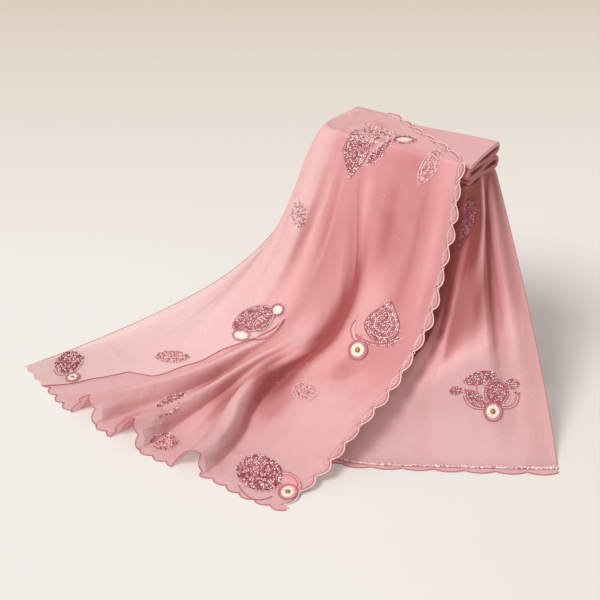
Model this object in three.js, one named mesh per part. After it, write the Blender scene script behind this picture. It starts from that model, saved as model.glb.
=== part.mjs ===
// Silk sari: its folded body lies as a long bundle, the decorated end falls over the front of it
// to the floor, the other end falls from under its right end and a plain stretch falls behind.
// Millimetres, +Z up, +X along the longest extent. Every piece of cloth is one closed wall.
import * as THREE from 'three';

// ---- driving sizes ------------------------------------------------------------------------
const WALL = 1.5;             // thickness of a cloth wall
const GAP = 0.3;              // clearance between neighbouring pieces
const RIDGE_TOP = 520;        // height of the top of the folded bundle
const BUNDLE_LENGTH = 312;
const BUNDLE_WIDTH = 124;
const BUNDLE_HEIGHT = 46;
const BUNDLE_LAYERS = 4;      // folded layers that show at the edges of the bundle
const BUNDLE_CORNER = [301, 42];   // front right corner of the bundle in plan
const BUNDLE_TURN = -33.5;    // degrees from +X to the bundle's long side
const SEAM = 1.4;             // clearance along a seam between two stretches of one cloth
const LAYER_STEP = WALL + GAP;     // from one layer of cloth to the next
const FOOTPRINT_CENTRE = [-40.66, 92.17];  // middle of the footprint in the measures of the tables
const FRONT_LOBES = 28;       // scallops along the front hem
const SIDE_LOBES = 24;        // scallops along the right side of the front fall
const RIGHT_LOBES = 14;       // scallops along the right hem
const PAISLEY_RISE = 2.4;     // thickness of the beaded paisleys
const LEAF_RISE = 1.8;
const DISC_RISE = 3.2;
const DISC_RADIUS = 15.5;
const MOTIF_LIFT = 0.6;       // clearance between a motif and the cloth

// ---- small maths --------------------------------------------------------------------------
const clamp = (x, lo, hi) => Math.min(hi, Math.max(lo, x));
const mix = (a, b, t) => a + (b - a) * t;
const ease = (t) => { const c = clamp(t, 0, 1); return c * c * (3 - 2 * c); };

// Smooth curve through the points (xs, ys) that never overshoots them.
function throughPoints(xs, ys, x) {
  const n = xs.length;
  const h = [], s = [], m = [];
  for (let i = 0; i < n - 1; i++) { h.push(xs[i + 1] - xs[i]); s.push((ys[i + 1] - ys[i]) / h[i]); }
  m[0] = s[0];
  m[n - 1] = s[n - 2];
  for (let i = 1; i < n - 1; i++) {
    if (s[i - 1] * s[i] <= 0) { m[i] = 0; continue; }
    const w1 = 2 * h[i] + h[i - 1], w2 = h[i] + 2 * h[i - 1];
    m[i] = (w1 + w2) / (w1 / s[i - 1] + w2 / s[i]);
  }
  let k = 0;
  while (k < n - 2 && x > xs[k + 1]) k++;
  const t = clamp((x - xs[k]) / h[k], 0, 1), r = 1 - t;
  return ys[k] * (1 + 2 * t) * r * r + ys[k + 1] * t * t * (3 - 2 * t)
    + h[k] * m[k] * t * r * r - h[k] * m[k + 1] * t * t * r;
}

// A table with named columns; look(name, x) reads a column against the first one.
function table(names, rows) {
  const columns = names.map((_, i) => rows.map((row) => row[i]));
  return (name, x) => throughPoints(columns[0], columns[names.indexOf(name)], x);
}

// ---- the folded bundle in plan ------------------------------------------------------------
const TURN = THREE.MathUtils.degToRad(BUNDLE_TURN);
const ALONG = [Math.cos(TURN), Math.sin(TURN)];
const ACROSS = [-ALONG[1], ALONG[0]];
const MIDDLE = [0, 1].map((i) => BUNDLE_CORNER[i] - ALONG[i] * BUNDLE_LENGTH / 2
  + ACROSS[i] * BUNDLE_WIDTH / 2);
const plan = (a, b) => [0, 1].map((i) => MIDDLE[i] + ALONG[i] * a + ACROSS[i] * b);

// Point of the ridge a distance s from the front right corner: along the front edge of the
// bundle, round its front left corner and along its left end.
function ridge(s) {
  const round = 35, bend = BUNDLE_LENGTH - s;
  const left = -BUNDLE_LENGTH / 2, front = -BUNDLE_WIDTH / 2;
  if (bend >= round) return plan(left + bend, front);
  if (bend <= -round) return plan(left, front - bend);
  const t = (round - bend) / (2 * round), r = 1 - t;
  return plan(left + r * r * round, front + t * t * round);
}

// ---- how a strand of cloth falls ----------------------------------------------------------
// From the edge of the bundle at top=[x,y] and the height h to the floor at foot=[x,y].
// drop is the share of the height lost at once, steep and trail shape the two parts of the
// fall, bow moves its middle sideways, flat is the length that lies on the floor.
function strand(top, foot, h, shape, v, roundness) {
  const dx = foot[0] - top[0], dy = foot[1] - top[1], d = Math.hypot(dx, dy);
  const q = clamp(v, 0, 1);
  const s = 0.22 * q + 0.78 * Math.pow(q, 1.5);
  const side = shape.bow * 4 * s * (1 - s);
  const x = clamp(1 - s * d / (d - shape.flat), 0, 1);
  const w = h - h * (shape.drop * Math.pow(x, shape.steep)
    + (1 - shape.drop) * Math.pow(x, shape.trail));
  const roll = (Math.hypot(w, roundness) - roundness) / (Math.hypot(h, roundness) - roundness);
  return new THREE.Vector3(top[0] + dx * s - dy / d * side, top[1] + dy * s + dx / d * side,
    h * (1 - roll));
}

// A panel of cloth: rows of the table across it, v from 0 at the edge it hangs over to 1 at
// its hem, and below 0 the part that lies on or under the bundle.
function panelSurface(p) {
  const read = ['footX', 'footY', 'drop', 'steep', 'trail', 'bow', 'flat'];
  return (u, v) => {
    const g = Object.fromEntries(read.map((name) => [name, p.rows(name, u)]));
    const top = p.top(u);
    const point = strand(top, [g.footX, g.footY], p.height, g, v, p.roundness);
    if (v < 0) {
      const inner = p.inner(u), w = clamp(v / p.start, 0, 1);
      point.set(mix(top[0], inner[0], w), mix(top[1], inner[1], w), p.height);
    }
    point.z += WALL / 2;
    return point;
  };
}

// ---- folds --------------------------------------------------------------------------------
// A fold line runs down a panel: where it is across the panel (u) and how far it stands out
// at the top, the middle and the hem. Columns of the grid follow the lines.
const threeStops = (line, first, t) => throughPoints([0, 0.5, 1], line.slice(first, first + 3), t);

function lineState(lines, foldStart, v) {
  const t = clamp((v - foldStart) / (1 - foldStart), 0, 1);
  const fade = ease((v - foldStart + 0.12) / 0.12);
  return lines.map((line) => ({
    u: threeStops(line, 1, t), height: threeStops(line, 4, t) * fade, steps: line[7] }));
}

function columnsAt(lines, foldStart, v) {
  const state = lineState(lines, foldStart, v), columns = [];
  state.slice(0, -1).forEach((line, i) => {
    for (let k = 0; k < line.steps; k++) {
      const t = k / line.steps;
      columns.push({ u: mix(line.u, state[i + 1].u, t),
        height: mix(line.height, state[i + 1].height, ease(t)) });
    }
  });
  columns.push(state[state.length - 1]);
  return columns;
}

// ---- a grid of cloth ----------------------------------------------------------------------
function averageNormals(points) {
  const rows = points.length, cols = points[0].length;
  const a = new THREE.Vector3(), b = new THREE.Vector3();
  return points.map((row, r) => row.map((_, c) => {
    const left = points[r][Math.max(c - 1, 0)], right = points[r][Math.min(c + 1, cols - 1)];
    const up = points[Math.max(r - 1, 0)][c], down = points[Math.min(r + 1, rows - 1)][c];
    const n = a.subVectors(right, left).clone().cross(b.subVectors(down, up)).normalize();
    return n;
  }));
}

function clothGrid(p) {
  const surface = panelSurface(p);
  const bare = p.steps.map((v) => columnsAt(p.lines, p.foldStart, v).map((c) => surface(c.u, v)));
  const outward = averageNormals(bare);
  const flip = outward.flat().reduce((sum, n) => sum + n.z, 0) < 0 ? -1 : 1;
  const points = p.steps.map((v, r) => columnsAt(p.lines, p.foldStart, v).map((c, i) => {
    const point = bare[r][i].clone().addScaledVector(outward[r][i], flip * c.height);
    point.z = Math.max(point.z, WALL / 2);
    return point;
  }));
  const normals = averageNormals(points);
  normals.flat().forEach((n) => n.multiplyScalar(flip));
  return { points, normals, panel: p, rows: p.steps.length - 1, cols: points[0].length - 1 };
}

// Point of the faceted cloth at a real column and row, moved out along its normal.
function onCloth(grid, c, r, out) {
  const c0 = clamp(Math.floor(c), 0, grid.cols - 1), r0 = clamp(Math.floor(r), 0, grid.rows - 1);
  const x = c - c0, y = r - r0;
  const low = Math.min(x, y), pick = x > y ? [0, 1] : [1, 0];
  const weights = [[0, 0, 1 - Math.max(x, y)], [pick[0], pick[1], Math.abs(x - y)], [1, 1, low]];
  const point = new THREE.Vector3(), normal = new THREE.Vector3();
  weights.forEach(([dr, dc, w]) => {
    point.addScaledVector(grid.points[r0 + dr][c0 + dc], w);
    normal.addScaledVector(grid.normals[r0 + dr][c0 + dc], w);
  });
  return point.addScaledVector(normal.normalize(), out);
}

// Row and column of a place (u, v) on the panel.
function placeOf(grid, u, v) {
  const steps = grid.panel.steps;
  let r = 0;
  while (r < steps.length - 2 && v > steps[r + 1]) r++;
  const row = r + (v - steps[r]) / (steps[r + 1] - steps[r]);
  const columns = columnsAt(grid.panel.lines, grid.panel.foldStart, v).map((c) => c.u);
  let c = 0;
  while (c < columns.length - 2 && u > columns[c + 1]) c++;
  return [c + (u - columns[c]) / (columns[c + 1] - columns[c]), row];
}

// ---- solids -------------------------------------------------------------------------------
// A closed body from two matching nets of points, its faces turned outwards.
function bodyBetween(upper, lower) {
  const rows = upper.length, cols = upper[0].length;
  const vertices = [...upper.flat(), ...lower.flat()], faces = [];
  const top = (r, c) => r * cols + c, under = (r, c) => rows * cols + r * cols + c;
  for (let r = 0; r < rows - 1; r++) {
    for (let c = 0; c < cols - 1; c++) {
      faces.push([top(r, c), top(r, c + 1), top(r + 1, c + 1)],
        [top(r, c), top(r + 1, c + 1), top(r + 1, c)],
        [under(r, c), under(r + 1, c + 1), under(r, c + 1)],
        [under(r, c), under(r + 1, c), under(r + 1, c + 1)]);
    }
  }
  const rim = [];
  for (let c = 0; c < cols - 1; c++) rim.push([0, c]);
  for (let r = 0; r < rows - 1; r++) rim.push([r, cols - 1]);
  for (let c = cols - 1; c > 0; c--) rim.push([rows - 1, c]);
  for (let r = rows - 1; r > 0; r--) rim.push([r, 0]);
  rim.forEach((from, i) => {
    const to = rim[(i + 1) % rim.length];
    faces.push([top(...from), under(...from), under(...to)], [top(...from), under(...to), top(...to)]);
  });
  return closedGeometry(vertices, faces);
}

function closedGeometry(vertices, faces) {
  const volume = faces.reduce((sum, [a, b, c]) => sum
    + vertices[a].dot(new THREE.Vector3().crossVectors(vertices[b], vertices[c])), 0);
  const index = faces.flatMap(([a, b, c]) => (volume < 0 ? [a, c, b] : [a, b, c]));
  const flat = vertices.flatMap((p) => [p.x - FOOTPRINT_CENTRE[0], p.y - FOOTPRINT_CENTRE[1], p.z]);
  const geometry = new THREE.BufferGeometry();
  geometry.setAttribute('position', new THREE.Float32BufferAttribute(flat, 3));
  geometry.setIndex(index);
  geometry.computeVertexNormals();
  return geometry;
}

// A stretch of cloth between two columns and two rows of a grid, its layer counted from the
// grid's own (0 itself, 1 the layer lying on it, -1 the layer under it).
function clothPiece(grid, [c0, c1], [r0, r1], layer = 0) {
  const net = (out) => {
    const rows = [];
    for (let r = r0; r <= r1; r++) {
      const row = [];
      for (let c = c0; c <= c1; c++) row.push(onCloth(grid, c, r, out));
      rows.push(row);
    }
    return rows;
  };
  const base = layer * LAYER_STEP;
  return bodyBetween(net(base + WALL / 2), net(base - WALL / 2));
}

// A scalloped border: along(t) gives the grid place of its inner edge and of the tip of its
// lobes for t from 0 to 1, and the notches between the lobes go back towards the inner edge.
function scallopedBorder(grid, along, lobes, notch) {
  const perLobe = 5, stations = lobes * perLobe;
  const upper = [], lower = [];
  for (let i = 0; i <= stations; i++) {
    const [inner, outer] = along(i / stations);
    const reach = 1 - notch * (1 - Math.sin(Math.PI * (i % perLobe) / perLobe));
    const tip = [0, 1].map((k) => mix(inner[k], outer[k], reach));
    upper.push([inner, tip].map((place) => onCloth(grid, ...place, WALL / 2)));
    lower.push([inner, tip].map((place) => onCloth(grid, ...place, -WALL / 2)));
  }
  return bodyBetween(upper, lower);
}

// Even steps along a grid line: returns a function from 0..1 to the row or column.
function evenSteps(count, pointAt) {
  const lengths = [0];
  for (let i = 1; i <= count; i++) lengths.push(lengths[i - 1] + pointAt(i).distanceTo(pointAt(i - 1)));
  return (t) => {
    const want = t * lengths[count];
    let k = 0;
    while (k < count - 1 && lengths[k + 1] < want) k++;
    return k + clamp((want - lengths[k]) / (lengths[k + 1] - lengths[k]), 0, 1);
  };
}

// Border along the last row of a grid, a seam's clearance below the row before it.
function hemBorder(grid, lobes, notch) {
  const column = evenSteps(grid.cols, (c) => grid.points[grid.rows][c]), last = grid.rows - 1;
  return scallopedBorder(grid, (t) => {
    const c = column(t), wide = onCloth(grid, c, last, 0).distanceTo(onCloth(grid, c, last + 1, 0));
    return [[c, last + SEAM / wide], [c, last + 1]];
  }, lobes, notch);
}

// Border along the first column of a grid, from its first row to the given one.
function sideBorder(grid, lastRow, lobes, notch) {
  const row = evenSteps(lastRow, (r) => grid.points[r][0]);
  return scallopedBorder(grid, (t) => {
    const r = row(t), wide = onCloth(grid, 0, r, 0).distanceTo(onCloth(grid, 1, r, 0));
    return [[1 - SEAM / wide, r], [0, r]];
  }, lobes, notch);
}

// ---- motifs sewn on the cloth -------------------------------------------------------------
// Outlines of a full turn, the base at x=0 and the tip at x=1, half a unit wide to each side.
const leafOutline = (angle) => [0.5 - 0.5 * Math.cos(angle), 0.5 * Math.sin(angle)];
// The paisley is full at its base and its tip curls over to one side.
const paisleyOutline = (angle) => {
  const [x, y] = leafOutline(angle);
  return [x, y * (1.12 - 0.7 * x * x) + 0.28 * x * x * x - 0.03];
};

// A domed pad on the cloth: rings of its outline shrink to a middle, each point made from the
// point of the cloth under it and moved out.
function pad(grid, layer, from, to, width, outline, points, rise) {
  const start = placeOf(grid, ...from), end = placeOf(grid, ...to);
  const base = onCloth(grid, ...start, 0), axis = onCloth(grid, ...end, 0).sub(base);
  const length = axis.length(), out = onCloth(grid, ...start, 1).sub(base);
  const across = new THREE.Vector3().crossVectors(out, axis).normalize();
  const du = onCloth(grid, start[0] + 0.1, start[1], 0).sub(base).multiplyScalar(10);
  const dv = onCloth(grid, start[0], start[1] + 0.1, 0).sub(base).multiplyScalar(10);
  const solve = (w) => {
    const uu = du.dot(du), uv = du.dot(dv), vv = dv.dot(dv), det = uu * vv - uv * uv;
    return [(vv * w.dot(du) - uv * w.dot(dv)) / det, (uu * w.dot(dv) - uv * w.dot(du)) / det];
  };
  const side = solve(across);
  const place = (x, y) => [mix(start[0], end[0], x) + side[0] * y * width,
    mix(start[1], end[1], x) + side[1] * y * width];
  const rings = [1, 0.72, 0.36], middle = outline === paisleyOutline ? [0.42, 0.1] : [0.5, 0];
  const ring = (scale, lift) => Array.from({ length: points }, (_, i) => {
    const [x, y] = outline(2 * Math.PI * i / points);
    return onCloth(grid, ...place(mix(middle[0], x, scale), mix(middle[1], y, scale)), lift);
  });
  const low = layer * LAYER_STEP + WALL / 2 + MOTIF_LIFT, crown = (scale) => low + rise * (1 - 0.5 * scale * scale);
  const nets = [...rings.slice().reverse().map((s) => ring(s, low)), ...rings.map((s) => ring(s, crown(s)))];
  const centre = place(...middle);
  const vertices = [...nets.flat(), onCloth(grid, ...centre, low), onCloth(grid, ...centre, low + rise)];
  const faces = [], last = nets.length - 1, floor = nets.length * points, peak = floor + 1;
  for (let k = 0; k < points; k++) {
    const n = (k + 1) % points;
    for (let j = 0; j < last; j++) {
      const a = j * points, b = a + points;
      faces.push([a + k, a + n, b + n], [a + k, b + n, b + k]);
    }
    faces.push([floor, n, k], [peak, last * points + k, last * points + n]);
  }
  return closedGeometry(vertices, faces);
}

// ---- the folded bundle --------------------------------------------------------------------
// Round-cornered outlines stacked upwards, drawn in between the layers.
function foldedBundle() {
  const corners = [8, 8, 36, 8], arc = 4, perLayer = 5, inset = 1.2, groove = 3;
  const layer = BUNDLE_HEIGHT / BUNDLE_LAYERS, levels = [];
  for (let i = 0; i < BUNDLE_LAYERS; i++) {
    for (let k = 0; k < perLayer; k++) {
      const t = k / (perLayer - 1), first = i > 0 && k === 0;
      if (first) continue;
      const pull = groove * (1 - Math.sqrt(Math.max(0, 1 - (2 * t - 1) ** 2 * 0.999)));
      levels.push([RIDGE_TOP - BUNDLE_HEIGHT + (i + t) * layer, inset + pull]);
    }
  }
  const outline = (pull) => {
    const a = BUNDLE_LENGTH / 2 - pull, b = BUNDLE_WIDTH / 2 - pull;
    return [[1, 1], [-1, 1], [-1, -1], [1, -1]].flatMap(([sa, sb], q) =>
      Array.from({ length: arc }, (_, k) => {
        const angle = Math.PI / 2 * (q + k / (arc - 1)), round = corners[q];
        return [sa * (a - round) + round * Math.cos(angle), sb * (b - round) + round * Math.sin(angle)];
      }));
  };
  const count = 4 * arc, faces = [];
  const vertices = levels.flatMap(([z, pull]) => outline(pull).map(([a, b]) => {
    const [x, y] = plan(a, b);
    return new THREE.Vector3(x, y, z);
  }));
  for (let j = 0; j < levels.length - 1; j++) {
    for (let k = 0; k < count; k++) {
      const n = (k + 1) % count, a = j * count, b = a + count;
      faces.push([a + k, a + n, b + n], [a + k, b + n, b + k]);
    }
  }
  const lid = (levels.length - 1) * count;
  for (let k = 1; k < count - 1; k++) faces.push([0, k + 1, k], [lid, lid + k, lid + k + 1]);
  return closedGeometry(vertices, faces);
}

// ---- front fall ---------------------------------------------------------------------------
const frontRows = table(
  ['across', 'ridge', 'neck', 'footX', 'footY', 'drop', 'steep', 'trail', 'bow', 'flat'], [
    [0.00, 4, 0.00, -30, -281, 0.59, 12.0, 1.45, -7, 25],
    [0.12, 80, 0.30, -105, -238, 0.54, 10.5, 1.50, -7, 25],
    [0.23, 160, 0.55, -168, -185, 0.50, 9.5, 1.60, -10, 25],
    [0.34, 225, 0.75, -236, -148, 0.48, 9.0, 1.65, -20, 25],
    [0.45, 258, 0.85, -305, -100, 0.47, 8.5, 1.70, -30, 25],
    [0.55, 280, 0.90, -360, -55, 0.46, 8.0, 1.75, -40, 25],
    [0.63, 298, 0.93, -400, -16, 0.46, 7.5, 1.80, -50, 25],
    [0.73, 318, 0.95, -455, 33, 0.46, 7.0, 1.85, -60, 25],
    [0.87, 350, 0.98, -505, 105, 0.46, 7.0, 1.90, -75, 25],
    [1.00, 385, 1.00, -563, 193, 0.46, 7.0, 1.90, -95, 25]]);
const NECK = [-81, -150];     // along the bundle's back edge: the gathered start of the fall
const front = {
  rows: frontRows, height: RIDGE_TOP + GAP, roundness: 12, start: -0.3, foldStart: 0.1,
  top: (u) => ridge(frontRows('ridge', u)),
  inner: (u) => plan(mix(NECK[0], NECK[1], frontRows('neck', u)), BUNDLE_WIDTH / 2),
  steps: [-0.3, -0.2, -0.1, -0.03, 0, 0.01, 0.025, 0.05, 0.09, 0.14, 0.2, 0.27, 0.35, 0.43, 0.51,
    0.59, 0.67, 0.74, 0.8, 0.86, 0.91, 0.945, 0.972, 1],
  lines: [
    // name, u at top, middle, hem, height at top, middle, hem, columns to the next line
    ['edge', 0.000, 0.000, 0.000, 0, 0, 0, 1],
    ['band', 0.030, 0.030, 0.030, 0, 0, 0, 3],
    ['panel', 0.150, 0.170, 0.140, 4, 6, 0, 3],
    ['valley_a', 0.285, 0.310, 0.237, -6, -20, 0, 4],
    ['crest_3', 0.300, 0.345, 0.284, 3, 26, 48, 4],
    ['valley_3', 0.310, 0.372, 0.334, 0, -6, 0, 3],
    ['flat_3', 0.318, 0.382, 0.450, 0, 0, 0, 4],
    ['crest_2', 0.326, 0.400, 0.500, 0, 16, 54, 4],
    ['valley_1', 0.334, 0.416, 0.550, 0, -4, 0, 2],
    ['flat_1', 0.342, 0.428, 0.628, 0, -4, 0, 4],
    ['crest_1', 0.352, 0.452, 0.680, 0, 14, 50, 4],
    ['foot_1', 0.375, 0.480, 0.731, 0, 2, 0, 2],
    ['flap', 0.440, 0.510, 0.850, 4, 2, 0, 4],
    ['shoulder', 0.720, 0.760, 0.930, 14, 5, 0, 3],
    ['left', 1.000, 1.000, 1.000, 4, 0, 0, 0]],
};
const lineColumn = (p, name) => {
  const at = p.lines.findIndex((line) => line[0] === name);
  return p.lines.slice(0, at).reduce((sum, line) => sum + line[7], 0);
};

// ---- right fall ---------------------------------------------------------------------------
const rightRows = table(['across', 'end', 'footX', 'footY', 'drop', 'steep', 'trail', 'bow', 'flat'], [
  [0.00, 4, -40, -20, 0.60, 12.0, 1.60, 0, 30],
  [0.10, 10, 10, -105, 0.58, 12.0, 1.60, 0, 30],
  [0.24, 22, 100, -150, 0.46, 11.0, 1.60, 5, 30],
  [0.47, 45, 230, -160, 0.24, 9.0, 1.60, 10, 30],
  [0.70, 72, 345, -168, 0.12, 9.0, 1.65, 15, 30],
  [0.88, 95, 425, -172, 0.05, 9.0, 1.70, 25, 20],
  [1.00, 110, 472, -174, 0.00, 9.0, 1.73, 40, 20]]);
const UNDER = RIDGE_TOP - BUNDLE_HEIGHT - GAP - WALL;
const right = {
  rows: rightRows, height: UNDER, roundness: 6, start: -0.12, foldStart: 0.12,
  top: (u) => plan(BUNDLE_LENGTH / 2 - 4, rightRows('end', u) - BUNDLE_WIDTH / 2),
  inner: (u) => plan(BUNDLE_LENGTH / 2 - 45, rightRows('end', u) - BUNDLE_WIDTH / 2),
  steps: [-0.12, 0, 0.012, 0.03, 0.06, 0.11, 0.18, 0.26, 0.35, 0.44, 0.53, 0.62, 0.71, 0.79, 0.86,
    0.92, 0.965, 1],
  lines: [
    ['hidden', 0.00, 0.00, 0.00, 0, 0, 0, 4],
    ['hollow', 0.10, 0.25, 0.30, -3, -9, 0, 3],
    ['crest', 0.35, 0.50, 0.62, 12, 12, 0, 3],
    ['facet', 0.62, 0.72, 0.80, -6, -6, 0, 3],
    ['margin', 0.80, 0.86, 0.88, 2, 2, 0, 2],
    ['edge', 1.00, 1.00, 1.00, 0, 0, 0, 0]],
};

// ---- back fall ----------------------------------------------------------------------------
const backRows = table(['across', 'edge', 'footX', 'footY', 'drop', 'steep', 'trail', 'bow', 'flat'], [
  [0.00, 6, 120, 460, 0.30, 9.0, 1.50, 0, 20],
  [0.35, 110, 235, 420, 0.30, 9.0, 1.45, 0, 20],
  [0.70, 210, 350, 360, 0.25, 9.0, 1.35, 0, 20],
  [1.00, 302, 455, 290, 0.20, 9.0, 1.30, 0, 20]]);
const back = {
  rows: backRows, height: UNDER, roundness: 6, start: -0.12, foldStart: 0.12,
  top: (u) => plan(backRows('edge', u) - BUNDLE_LENGTH / 2, BUNDLE_WIDTH / 2 - 3),
  inner: (u) => plan(backRows('edge', u) - BUNDLE_LENGTH / 2, BUNDLE_WIDTH / 2 - 12),
  steps: [-0.12, 0, 0.012, 0.03, 0.07, 0.14, 0.24, 0.35, 0.46, 0.57, 0.68, 0.78, 0.87, 0.94, 1],
  lines: [
    ['left', 0.00, 0.00, 0.00, 0, 0, 0, 2],
    ['pleat_1', 0.22, 0.20, 0.20, 3, 12, 12, 2],
    ['between_1', 0.36, 0.35, 0.35, 0, -4, 0, 2],
    ['pleat_2', 0.48, 0.50, 0.52, 3, 14, 16, 2],
    ['between_2', 0.62, 0.65, 0.67, 0, -4, 0, 2],
    ['pleat_3', 0.76, 0.80, 0.82, 3, 12, 12, 2],
    ['right', 1.00, 1.00, 1.00, 0, 0, 0, 0]],
};

// ---- motifs -------------------------------------------------------------------------------
// piece, panel, layer it lies on, u and v of its base, u and v of its tip, width
const PAISLEYS = [
  ['paisley_1', 'front', 0, 0.353, 0.085, 0.305, 0.022, 46],
  ['paisley_2', 'front', 1, 0.544, 0.515, 0.477, 0.380, 52],
  ['paisley_3', 'front', 1, 0.949, 0.940, 0.902, 0.870, 44],
  ['paisley_4', 'front', 0, 0.152, 0.372, 0.144, 0.252, 60],
  ['paisley_5', 'front', 0, 0.069, 0.896, 0.222, 0.891, 60],
  ['paisley_6', 'right', 0, 0.730, 0.670, 0.610, 0.560, 84],
  ['paisley_7', 'right', 0, 0.400, 0.150, 0.360, 0.070, 24],
];
const LEAVES = [
  ['leaf_1', 'front', 0, 0.117, 0.046, 0.110, -0.000, 24],
  ['leaf_2', 'front', 0, 0.225, -0.019, 0.077, -0.136, 24],
  ['leaf_3', 'front', 0, 0.568, 0.200, 0.656, 0.161, 30],
  ['leaf_4', 'front', 1, 0.733, 0.721, 0.631, 0.648, 26],
  ['leaf_5', 'front', 0, 0.230, 0.617, 0.185, 0.573, 40],
  ['leaf_6', 'front', 0, 0.458, 0.930, 0.379, 0.930, 30],
];
// piece, panel, layer it lies on, u and v of its middle
const DISCS = [
  ['disc_1', 'front', 0, 0.049, 0.917],
  ['disc_2', 'front', 0, 0.159, 0.406],
  ['disc_3', 'front', 1, 0.871, 0.924],
  ['disc_4', 'right', 0, 0.724, 0.701],
];

// ---- colours ------------------------------------------------------------------------------
const CLOTH = { color: 0xd99a9b, roughness: 0.55, metalness: 0 };
const PALE = { color: 0xe6bcba, roughness: 0.5, metalness: 0.1 };
const DEEP = { color: 0xb9686f, roughness: 0.6, metalness: 0 };
const BEADS = { color: 0xc98a92, roughness: 0.35, metalness: 0.2 };
const WHITE = { color: 0xf3ebe6, roughness: 0.5, metalness: 0 };

const sari = new THREE.Group();
sari.name = 'silk_sari';
function add(name, geometry, look) {
  const mesh = new THREE.Mesh(geometry, new THREE.MeshStandardMaterial(look));
  mesh.name = name;
  sari.add(mesh);
}

const frontGrid = clothGrid(front), rightGrid = clothGrid(right), backGrid = clothGrid(back);
const frontLast = frontGrid.rows - 1, rightLast = rightGrid.rows - 1;
const flapColumn = lineColumn(front, 'flap');

add('front_fall', clothPiece(frontGrid, [1, frontGrid.cols], [0, frontLast]), CLOTH);
add('front_under_layer', clothPiece(frontGrid, [2, lineColumn(front, 'valley_3')],
  [8, frontLast - 3], -1), CLOTH);
add('left_flap', clothPiece(frontGrid, [flapColumn, frontGrid.cols], [11, frontLast], 1), CLOTH);

add('front_hem_border', hemBorder(frontGrid, FRONT_LOBES, 0.45), PALE);
add('front_side_border', sideBorder(frontGrid, frontLast, SIDE_LOBES, 0.4), PALE);

add('folded_bundle', foldedBundle(), CLOTH);
add('right_fall', clothPiece(rightGrid, [0, rightGrid.cols], [0, rightLast]), CLOTH);
add('right_fold_under', clothPiece(rightGrid, [lineColumn(right, 'margin'), rightGrid.cols],
  [3, rightLast - 2], -1), CLOTH);
add('right_hem_border', hemBorder(rightGrid, RIGHT_LOBES, 0.4), PALE);
add('back_fall', clothPiece(backGrid, [0, backGrid.cols], [0, backGrid.rows]), CLOTH);

const panels = { front: frontGrid, right: rightGrid, back: backGrid };
PAISLEYS.forEach(([name, panel, layer, u0, v0, u1, v1, width]) => add(name,
  pad(panels[panel], layer, [u0, v0], [u1, v1], width, paisleyOutline, 16, PAISLEY_RISE), BEADS));
LEAVES.forEach(([name, panel, layer, u0, v0, u1, v1, width]) => add(name,
  pad(panels[panel], layer, [u0, v0], [u1, v1], width, leafOutline, 10, LEAF_RISE), DEEP));
DISCS.forEach(([name, panel, layer, u, v]) => {
  const grid = panels[panel], step = 0.01;
  const reach = onCloth(grid, ...placeOf(grid, u, v - step), 0)
    .distanceTo(onCloth(grid, ...placeOf(grid, u, v + step), 0)) / (2 * step);
  add(name, pad(grid, layer, [u, v - DISC_RADIUS / reach], [u, v + DISC_RADIUS / reach],
    2 * DISC_RADIUS, leafOutline, 12, DISC_RISE), WHITE);
});

export default sari;
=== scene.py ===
# %% [markdown]
# # Dressing a silk sari
# The frame holds the sari's measured solids: a folded bundle, two decorated falls and a plain
# one. This lesson gives each of them its cloth, cords and beads. It loads the frame first and
# keeps the size of the plain model, which is printed beside the dressed one's at the end.

# %% Load the frame
import math
import bpy
import numpy as np
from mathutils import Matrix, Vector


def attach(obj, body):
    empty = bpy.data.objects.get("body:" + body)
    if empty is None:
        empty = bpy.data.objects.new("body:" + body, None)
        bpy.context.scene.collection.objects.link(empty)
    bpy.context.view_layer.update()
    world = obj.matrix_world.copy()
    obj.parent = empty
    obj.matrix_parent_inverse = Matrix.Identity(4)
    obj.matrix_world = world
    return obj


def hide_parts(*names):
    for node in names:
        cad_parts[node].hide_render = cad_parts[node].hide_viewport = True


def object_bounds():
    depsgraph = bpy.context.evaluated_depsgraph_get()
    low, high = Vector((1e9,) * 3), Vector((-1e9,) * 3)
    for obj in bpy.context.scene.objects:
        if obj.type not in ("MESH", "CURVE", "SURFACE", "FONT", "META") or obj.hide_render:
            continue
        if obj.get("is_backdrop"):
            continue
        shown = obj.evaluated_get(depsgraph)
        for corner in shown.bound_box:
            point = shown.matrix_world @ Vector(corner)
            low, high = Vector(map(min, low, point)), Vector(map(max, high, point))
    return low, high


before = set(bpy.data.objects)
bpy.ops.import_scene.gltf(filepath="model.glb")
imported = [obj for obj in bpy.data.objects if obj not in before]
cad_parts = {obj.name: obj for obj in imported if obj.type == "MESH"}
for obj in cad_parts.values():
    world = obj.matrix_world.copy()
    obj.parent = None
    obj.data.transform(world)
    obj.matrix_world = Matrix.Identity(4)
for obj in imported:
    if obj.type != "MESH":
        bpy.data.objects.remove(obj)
cad_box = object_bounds()
rng = np.random.default_rng(7)
print("CAD box", cad_box)

# %% [markdown]
# ## Shader arithmetic in plain Python
# A material's pattern is a small sum over coordinates. Nodes could be placed one by one, but a
# class that wraps a socket and overloads + - * / lets a pattern be written as an expression.

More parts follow.
